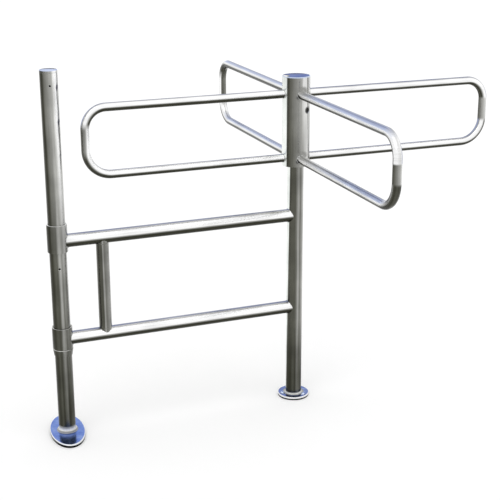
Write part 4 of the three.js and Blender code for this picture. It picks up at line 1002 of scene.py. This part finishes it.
def arm_rows(radius):
    """Rows along the arm, which points along +X: the section circle is carried down two quarter
    bends, centre + bend (cos a, sin a), and both ends lie on the head's cylinder."""
    angle = TURN * np.arange(SLIM) / SLIM
    across, out = radius * np.cos(angle), radius * np.sin(angle)
    turns = np.radians(np.linspace(90, 0, 33))[:, None]
    bends, ends = [], []
    for height, bend, way in ((ARM_UPPER, ARM_UPPER_BEND, 1), (ARM_LOWER, ARM_LOWER_BEND, -1)):
        turn = turns if way > 0 else turns - TURN / 4
        bend_x = ARM_REACH - bend
        bends.append(np.stack((bend_x + (bend + out) * np.cos(turn), across + 0 * turn,
                               height - way * bend + (bend + out) * np.sin(turn)), axis=-1))
        start = np.sqrt((HEAD_RADIUS + SEAT_GAP) ** 2 - across ** 2)
        share = np.linspace(0, 1, 24)[:-1, None] ** 1.5
        along = start + (bend_x - start) * share
        ends.append(np.stack((along, across + 0 * along, height + way * out + 0 * along), axis=-1))
    height = np.linspace(ARM_UPPER - ARM_UPPER_BEND, ARM_LOWER + ARM_LOWER_BEND, 26)[1:-1, None]
    end = np.stack((ARM_REACH + out + 0 * height, across + 0 * height, height + 0 * out), axis=-1)
    return np.concatenate((ends[0], bends[0], end, bends[1], ends[1][::-1]))


def along_bend(places):
    """How far round a bend a point is, as an angle's share of 90 degrees: 0 where the level run ends,
    1 where the tube stands upright."""
    reach = np.hypot(places[:, 0], places[:, 1])
    middle = (ARM_UPPER + ARM_LOWER) / 2
    way = np.where(places[:, 2] > middle, 1, -1)
    bend = np.where(way > 0, ARM_UPPER_BEND, ARM_LOWER_BEND)
    height = np.where(way > 0, ARM_UPPER, ARM_LOWER)
    ahead = reach - (ARM_REACH - bend)
    rise = way * (places[:, 2] - height) + bend
    return np.clip(np.arctan2(np.maximum(ahead, 0), np.maximum(rise, 0)) / (TURN / 4), 0, 1)


def arm_upright(start_share, drop=-ARM_UPPER_BEND):
    """Mark: the arm's end, where it stands upright between its bends. It fades in from a share of each
    bend's angle to the bend's end, and starts no higher than a drop below the upper bend."""
    start = ARM_UPPER - ARM_UPPER_BEND - drop

    def mark(places):
        fade = np.clip((along_bend(places) - start_share) / (0.99 - start_share), 0, 1)
        return fade * np.clip((start - places[:, 2]) / (2.5 * MM), 0, 1)
    return mark


def arm_edged(lower_share):
    """Mark: painted dark reflections at the edges of an arm's bends, all on its upper half and a share on
    its lower.
    """
    return lambda places: np.where(places[:, 2] > (ARM_UPPER + ARM_LOWER) / 2, 1.0, lower_share)


def arm_bent(places):
    """Mark: the bends of an arm, fading in over their first half."""
    return np.clip((along_bend(places) - 0.2) / 0.4, 0, 1)


def arm_level(share):
    """Mark: share on the level runs of an arm, fading out over the start of its bends."""
    return lambda places: share * np.clip(1 - along_bend(places) / 0.5, 0, 1)


def arm_lift(azimuth, reach, tilts):
    """Mark: how far a point lies up the tube's own section, from -1 to 1, times a reach. Up is away from
    the loop's middle on its upper half and towards it on the lower one, so that it turns with the
    bends, and it leans to the front by a tilt above and one below."""
    way_out = np.array((math.cos(azimuth), math.sin(azimuth)))

    def mark(places):
        out = places[:, :2] @ way_out
        to_front = -(places[:, 1] - out * way_out[1]) / ARM_RADIUS
        upper = places[:, 2] > (ARM_UPPER + ARM_LOWER) / 2
        way = np.where(upper, 1, -1)
        bend = np.where(upper, ARM_UPPER_BEND, ARM_LOWER_BEND)
        height = np.where(upper, ARM_UPPER, ARM_LOWER)
        tilt = np.where(upper, *tilts)
        ahead = np.maximum(out - (ARM_REACH - bend), 0)
        rise = np.maximum(way * (places[:, 2] - height) + bend, 0)
        outward = (np.hypot(ahead, rise) - bend) / ARM_RADIUS
        return np.clip(reach * (way * outward * np.sqrt(1 - tilt ** 2) + tilt * to_front), -1, 1)
    return mark


def arm_near_head(share):
    """Mark: share beside the head, fading out along the level run, over 130 mm above and 330 below."""
    def mark(places):
        out = np.hypot(places[:, 0], places[:, 1]) - HEAD_RADIUS
        middle = (ARM_UPPER + ARM_LOWER) / 2
        return share * np.clip(1.1 - out / np.where(places[:, 2] > middle, 130 * MM, 330 * MM), 0, 1)
    return mark


def arm_root(share):
    """Mark: share at the very root of an arm, fading out over 30 mm, where painted shade widens the dark
    underside.
    """
    def mark(places):
        out = np.hypot(places[:, 0], places[:, 1]) - HEAD_RADIUS
        return share * np.clip(1 - out / (30 * MM), 0, 1)
    return mark


arm_wall = cells(np.concatenate((arm_rows(ARM_RADIUS), arm_rows(ARM_BORE)[::-1])), ring=True)
for name, azimuth in ARM_AZIMUTHS.items():
    lies_across = 1.0 if name in ("arm_front", "arm_rear") else 0.0
    seen_near_head = 1.0 if name == "arm_front" else 0.0
    lift = arm_lift(math.radians(azimuth), 1 - 0.16 * lies_across, ARM_TILT_SHARES.get(name, (0.0, 0.0)))
    piece(f"{name}_tube", [placed(arm_wall, about_z(math.radians(azimuth)))], arm_tubes[name], "head",
          "polished_steel", name, upright=arm_upright(*ARM_END_SHARES[name]),
          crossing=arm_level(lies_across), lift=lift, bent=arm_bent,
          near_head=arm_near_head(seen_near_head), root=arm_root(seen_near_head),
          edged=everywhere(0.0) if name == "arm_left" else arm_edged(lies_across))


def saddle_bead(tube, host, columns=SLIM, bead=1.5 * MM, round_columns=10):
    """A weld bead round a tube along +X where it meets an upright host cylinder: its centre line is
    x = sqrt(host² - (tube cos t)²), y = tube cos t, z = tube sin t, and a circle whose radius
    ripples along the line is carried round it, leaning out halfway between tube and host."""
    angle = TURN * np.arange(columns * 3) / (columns * 3)
    across, rise = tube * np.cos(angle), tube * np.sin(angle)
    along = np.sqrt(host ** 2 - across ** 2)
    line = np.stack((along, across, rise), axis=-1)
    away = np.stack((0 * angle, np.cos(angle), np.sin(angle)), axis=-1)
    forward = np.stack((np.ones_like(angle), 0 * angle, 0 * angle), axis=-1)
    ripple = bead * (1 + 0.12 * np.abs(np.sin(angle * round(TURN * tube / (2 * bead)) / 2)))
    section = TURN * np.arange(round_columns) / round_columns
    grid = line[:, None] + ripple[:, None, None] * (
        np.cos(section)[None, :, None] * away[:, None] + np.sin(section)[None, :, None] * forward[:, None])
    return cells(grid, ring=True)


def moved(sheet, place=(0, 0, 0)):
    points, faces = sheet
    return points + place, faces


def rail_lift(places):
    """Mark: how far up the nearer rail's round section a point lies, from -1 to 1."""
    upper, lower = RAIL_HEIGHTS["upper_rail"], RAIL_HEIGHTS["lower_rail"]
    height = np.where(places[:, 2] > (upper + lower) / 2, upper, lower)
    return np.clip((places[:, 2] - height) / RAIL_RADIUS, -1, 1)


frame_beads = []
turn_back = about_z(math.pi)
for height in RAIL_HEIGHTS.values():
    frame_beads.append(moved(saddle_bead(RAIL_RADIUS, SLEEVE_RADIUS), (GUIDE_X, 0, height)))
    frame_beads.append(moved(placed(saddle_bead(RAIL_RADIUS, POST_RADIUS), turn_back), (0, 0, height)))
stand_up = Matrix.Rotation(-TURN / 4, 3, "Y")
stand_down = Matrix.Rotation(TURN / 4, 3, "Y")
swap = Matrix.Rotation(TURN / 4, 3, "X")
baluster_beads = []
for height, stand in ((RAIL_HEIGHTS["lower_rail"], stand_up), (RAIL_HEIGHTS["upper_rail"], stand_down)):
    bead = placed(saddle_bead(BALUSTER_RADIUS, RAIL_RADIUS), stand @ swap)
    baluster_beads.append(moved(bead, (BALUSTER_X, 0, height)))
piece("baluster_weld_beads", baluster_beads, baluster_tube, "frame", "polished_steel",
      upright=everywhere(1.0))
piece("frame_weld_beads", frame_beads, rail_tube, "frame", "polished_steel", lift=rail_lift)
# The weld bead at the post's foot is laid over with a pale painted reflection all round
foot_bead = turned(arc((POST_RADIUS + 0.3 * MM, FLANGE_THICKNESS + 0.3 * MM), 0.7 * MM, 0, 330, 11), ROUND)
piece("foot_weld_bead", [cells(foot_bead, ring=True)], flange_steel, "frame", "plate_steel",
      glint=everywhere(0.8))
arm_beads = []
for azimuth in ARM_AZIMUTHS.values():
    for height in (ARM_UPPER, ARM_LOWER):
        bead = placed(saddle_bead(ARM_RADIUS, HEAD_RADIUS, bead=1.1 * MM), about_z(math.radians(azimuth)))
        arm_beads.append(moved(bead, (0, 0, height)))
piece("arm_weld_beads", arm_beads, weld_steel, "head", "polished_steel")


# Flange of the turnstile post, with three bolts
def drilled_disc():
    """A disc on the floor with a rounded upper edge and a ring of bolt holes. Its faces are polar
    grids, and round each hole a window of cells is drawn in to a circle."""
    columns = ROUND
    half = 6
    half_rows = 3
    window = BOLT_HOLE + 2.5 * MM
    inner_rows = [BOLT_CIRCLE - window, BOLT_CIRCLE + window]
    levels = np.linspace(*inner_rows, 2 * half_rows + 1)
    radii = np.concatenate(([0, 12 * MM, 22 * MM], levels, [FLANGE_RADIUS - FLANGE_EDGE]))
    first = 3
    opened = np.zeros((len(radii) - 1, columns), dtype=bool)
    places = [round(azimuth / 360 * columns) for azimuth in BOLT_AZIMUTHS]
    for place in places:
        span = np.arange(place - half, place + half) % columns
        opened[first:first + 2 * half_rows, span] = True
    sheets = []
    for height in (0.0, FLANGE_THICKNESS):
        sheets.append(cells(turned([(radius, height) for radius in radii], columns), opened=opened))
    edge = arc((FLANGE_RADIUS - FLANGE_EDGE, FLANGE_THICKNESS - FLANGE_EDGE), FLANGE_EDGE, 0, 90, 5)
    sheets.append(cells(turned([(FLANGE_RADIUS - FLANGE_EDGE, 0), (FLANGE_RADIUS, 0), *edge], columns)))
    column, row = window_rim(half, half_rows)
    for place in places:
        bearing = TURN * place / columns
        radius = BOLT_CIRCLE + row * window
        angle = bearing + column * half * TURN / columns
        rim = np.stack((radius * np.cos(angle), radius * np.sin(angle)), axis=-1)
        centre = BOLT_CIRCLE * np.array((np.cos(bearing), np.sin(bearing)))
        outward = rim - centre
        mouth = centre + outward / np.hypot(*outward.T)[:, None] * BOLT_HOLE
        rows = []
        for height, shares in ((0.0, (0, 0.5, 1)), (FLANGE_THICKNESS, (1, 0.5, 0))):
            for share in shares:
                flat = rim + (mouth - rim) * share
                rows.append(np.column_stack((flat, np.full(len(flat), height))))
        sheets.append(cells(np.array(rows)))
    return sheets


piece("turnstile_flange_disc", drilled_disc(), flange_steel, "frame", "plate_steel", "turnstile_flange",
      glint=plate_glint(0.0, FLANGE_THICKNESS, 10 * MM), shaded=round_bolts)


def button_bolt(seat):
    """A button-head bolt: shank, flat underside, elliptic dome (head cos a, height sin a) up to a
    small land, and a hexagon socket in the land."""
    columns = 48
    dome = [(BOLT_HEAD * math.cos(angle), seat + BOLT_HEAD_HEIGHT * math.sin(angle))
            for angle in np.radians(np.linspace(6, 58, 8))]
    profile = [(0, BOLT_TIP), (BOLT_SHANK - 0.6 * MM, BOLT_TIP), (BOLT_SHANK, BOLT_TIP + 0.6 * MM),
               (BOLT_SHANK, seat), (BOLT_HEAD - 0.3 * MM, seat)] + dome
    land = dome[-1][1]
    profile += [(3.3 * MM, land + 0.1 * MM)]
    rows = np.concatenate((turned(profile, columns), socket_rows(land, land - 2.4 * MM, 5 * MM, columns)))
    return cells(rows)


bolt = button_bolt(FLANGE_THICKNESS + SEAT_GAP)
for number, azimuth in enumerate(BOLT_AZIMUTHS, 1):
    angle = math.radians(azimuth)
    place = (BOLT_CIRCLE * math.cos(angle), BOLT_CIRCLE * math.sin(angle), 0)
    piece(f"flange_bolt_{number}_button_head", [moved(bolt, place)], bolt_steel, "frame", "bolt_steel",
          f"flange_bolt_{number}")


# Foot cover: an oval pressed shell with a neck round the guide post
def oval(half_x, half_y, height):
    """One row of an oval about the guide post's axis: half_x cos t, half_y sin t, height."""
    angle = TURN * np.arange(ROUND) / ROUND
    return np.stack((half_x * np.cos(angle), half_y * np.sin(angle), np.full(ROUND, height)), axis=-1)


def foot_cover():
    """The cover's outline drawn inwards: an oval edge rounded off by a quarter circle, a flat top that
    blends from the oval to the neck's circle, a fillet, the neck, and the hollow underside."""
    half_x, half_y = FOOT_HALF
    rows = [oval(half_x, half_y, FOOT_FLOOR), oval(half_x, half_y, FOOT_FLOOR + 3 * MM)]
    for inset, height in arc((0, FOOT_TOP - FOOT_EDGE), FOOT_EDGE, 0, 90, 6):
        draw = FOOT_EDGE - inset
        rows.append(oval(half_x - draw, half_y - draw, height))
    rim = (half_x - FOOT_EDGE, half_y - FOOT_EDGE)
    foot = NECK_RADIUS + NECK_FILLET
    for share in np.linspace(0, 1, 14)[1:]:
        rows.append(oval(rim[0] + (foot - rim[0]) * share, rim[1] + (foot - rim[1]) * share, FOOT_TOP))
    for radius, height in arc((foot, FOOT_TOP + NECK_FILLET), NECK_FILLET, -90, -180, 4)[1:]:
        rows.append(oval(radius, radius, height))
    for radius, height in arc((NECK_RADIUS - NECK_EDGE, NECK_TOP - NECK_EDGE), NECK_EDGE, 0, 90, 5):
        rows.append(oval(radius, radius, height))
    rows.append(oval(SLEEVE_BORE, SLEEVE_BORE, NECK_TOP))
    pocket = FOOT_TOP - FOOT_SHEET
    rows.append(oval(SLEEVE_BORE, SLEEVE_BORE, pocket))
    under = (half_x - FOOT_LIP, half_y - FOOT_LIP)
    for share in np.linspace(0, 1, 6)[1:]:
        rows.append(oval(SLEEVE_BORE + (under[0] - SLEEVE_BORE) * share,
                         SLEEVE_BORE + (under[1] - SLEEVE_BORE) * share, pocket))
    rows.append(oval(*under, FOOT_FLOOR))
    return cells(np.array(rows), ring=True)


points, faces = placed(foot_cover(), about_z(FOOT_TURN))
piece("foot_cover_pressing", [(points + (GUIDE_X, 0, 0), faces)], foot_plate_steel, "frame",
      "plate_steel", "foot_cover", glint=plate_glint(GUIDE_X, FOOT_TOP, 8 * MM))


# Lock in the side of the head
def across_head(points):
    """Turns points made about the Z axis so that Z runs out along the lock's axis from the head's centre."""
    lay = about_z(LOCK_AZIMUTH) @ Matrix.Rotation(TURN / 4, 3, "Y")
    return points @ np.array(lay).T + (0, 0, LOCK_HEIGHT)


def lock_barrel():
    """The barrel's outer end lies flush in the head's surface: along the axis its edge is at
    sqrt(head radius² - (radius sin t)²), where radius sin t is the distance sideways."""
    def flush(radius, sink):
        angle = TURN * np.arange(48) / 48
        sideways = radius * np.sin(angle)
        out = np.sqrt(HEAD_RADIUS ** 2 - sideways ** 2) - sink
        return np.stack((radius * np.cos(angle), sideways, out), axis=-1)
    bevel = 0.5 * MM
    bore_end = LOCK_INNER_END + LOCK_END_WALL
    body = turned([(LOCK_PIN_HOLE, bore_end), (LOCK_PIN_HOLE, LOCK_INNER_END),
                   (LOCK_RADIUS, LOCK_INNER_END)], 48)
    bore = turned([(LOCK_BORE, bore_end)], 48)
    rows = np.concatenate((body, [flush(LOCK_RADIUS, bevel), flush(LOCK_RADIUS - bevel, 0),
                                  flush(LOCK_BORE + bevel, 0), flush(LOCK_BORE, bevel)], bore))
    points, faces = cells(rows, ring=True)
    return across_head(points), faces


def lock_plunger():
    """A turned plunger with a bevelled face; the key slot is a narrow oval in the face, blended from
    the round rim to the slot and sunk straight down."""
    bevel = 0.5 * MM
    angle = TURN * np.arange(48) / 48
    back = PLUNGER_FACE - PLUNGER_LENGTH
    profile = [(0, LOCK_INNER_END), (PLUNGER_PIN, LOCK_INNER_END), (PLUNGER_PIN, back), (PLUNGER_HEAD, back),
               (PLUNGER_HEAD, PLUNGER_FACE - bevel), (PLUNGER_HEAD - bevel, PLUNGER_FACE)]
    rows = [*turned(profile, 48)]
    for share, depth in ((1.0, 0), (1.0, 1.2 * MM), (0.0, 1.2 * MM)):
        rows.append(np.stack((share * 4 * MM * np.cos(angle), share * 0.8 * MM * np.sin(angle),
                              np.full(48, PLUNGER_FACE - depth)), axis=-1))
    points, faces = cells(np.array(rows))
    return across_head(points), faces


piece("lock_barrel_ring", [lock_barrel()], lock_ring, "head", "polished_steel", "lock_barrel")
piece("lock_plunger_face", [lock_plunger()], black_lacquer, "lock_plunger", "black_lock", "lock_plunger")


# Stage: a plain pale floor, soft suns and the photograph's camera
def white_floor():
    """A flat square of floor, matt and white, which keeps the object's soft shadow."""
    half = 30.0
    mesh = bpy.data.meshes.new("studio_floor")
    corners = [(-half, -half, 0), (half, -half, 0), (half, half, 0), (-half, half, 0)]
    mesh.from_pydata(corners, [], [(0, 1, 2, 3)])
    material, tree, shader, point, normal = new_material("matt_white_floor")
    shader.inputs["Base Color"].default_value = linear("ffffff")
    shader.inputs["Roughness"].default_value = 1.0
    shader.inputs["Specular IOR Level"].default_value = 0.0
    shader.inputs["Emission Color"].default_value = linear("ffffff")
    path = add(tree, "ShaderNodeLightPath")
    glow = add(tree, "ShaderNodeMath", {0: path.outputs["Is Camera Ray"], 1: 0.06}, operation="MULTIPLY")
    tree.links.new(glow.outputs[0], shader.inputs["Emission Strength"])
    mesh.materials.append(material)
    floor = bpy.data.objects.new("studio_floor", mesh)
    bpy.context.scene.collection.objects.link(floor)


def white_world():
    """White all round for the camera and for mirrored rays; a little less as a light."""
    world = bpy.data.worlds.new("studio_white")
    bpy.context.scene.world = world
    world.use_nodes = True
    tree = world.node_tree
    path = add(tree, "ShaderNodeLightPath")
    seen = add(tree, "ShaderNodeMath", {0: path.outputs["Is Camera Ray"], 1: path.outputs["Is Glossy Ray"]},
               operation="MAXIMUM")
    seen = add(tree, "ShaderNodeMath", {0: seen.outputs[0], 1: path.outputs["Is Transmission Ray"]},
               operation="MAXIMUM")
    strength = add(tree, "ShaderNodeMapRange", {0: seen.outputs[0], 3: 0.9, 4: 1.0})
    background = tree.nodes["Background"]
    background.inputs["Color"].default_value = linear("ffffff")
    tree.links.new(strength.outputs[0], background.inputs["Strength"])


def soft_sun(name, strength, width, tilt, heading):
    light = bpy.data.lights.new(name, "SUN")
    light.energy = strength
    light.angle = math.radians(width)
    lamp = bpy.data.objects.new(name, light)
    lamp.rotation_euler = (math.radians(tilt), 0, math.radians(heading))
    bpy.context.scene.collection.objects.link(lamp)


def photograph_camera():
    place = (-1.4400, -3.2649, 1.6471)
    yaw, pitch, roll = 0.3759, 0.3121, -0.0022
    data = bpy.data.cameras.new("photograph_view")
    data.sensor_width = 36.0
    data.lens = 85.43
    camera = bpy.data.objects.new("photograph_view", data)
    aim = Matrix.Rotation(-yaw, 4, "Z") @ Matrix.Rotation(TURN / 4 - pitch, 4, "X")
    aim = aim @ Matrix.Rotation(roll, 4, "Z")
    camera.matrix_world = Matrix.Translation(place) @ aim
    bpy.context.scene.collection.objects.link(camera)
    bpy.context.scene.camera = camera


white_floor()
white_world()
soft_sun("key_sun", 0.3, 50, 38, -50)
soft_sun("fill_sun", 0.12, 70, 45, 60)
photograph_camera()
bpy.context.scene.view_settings.view_transform = "Standard"
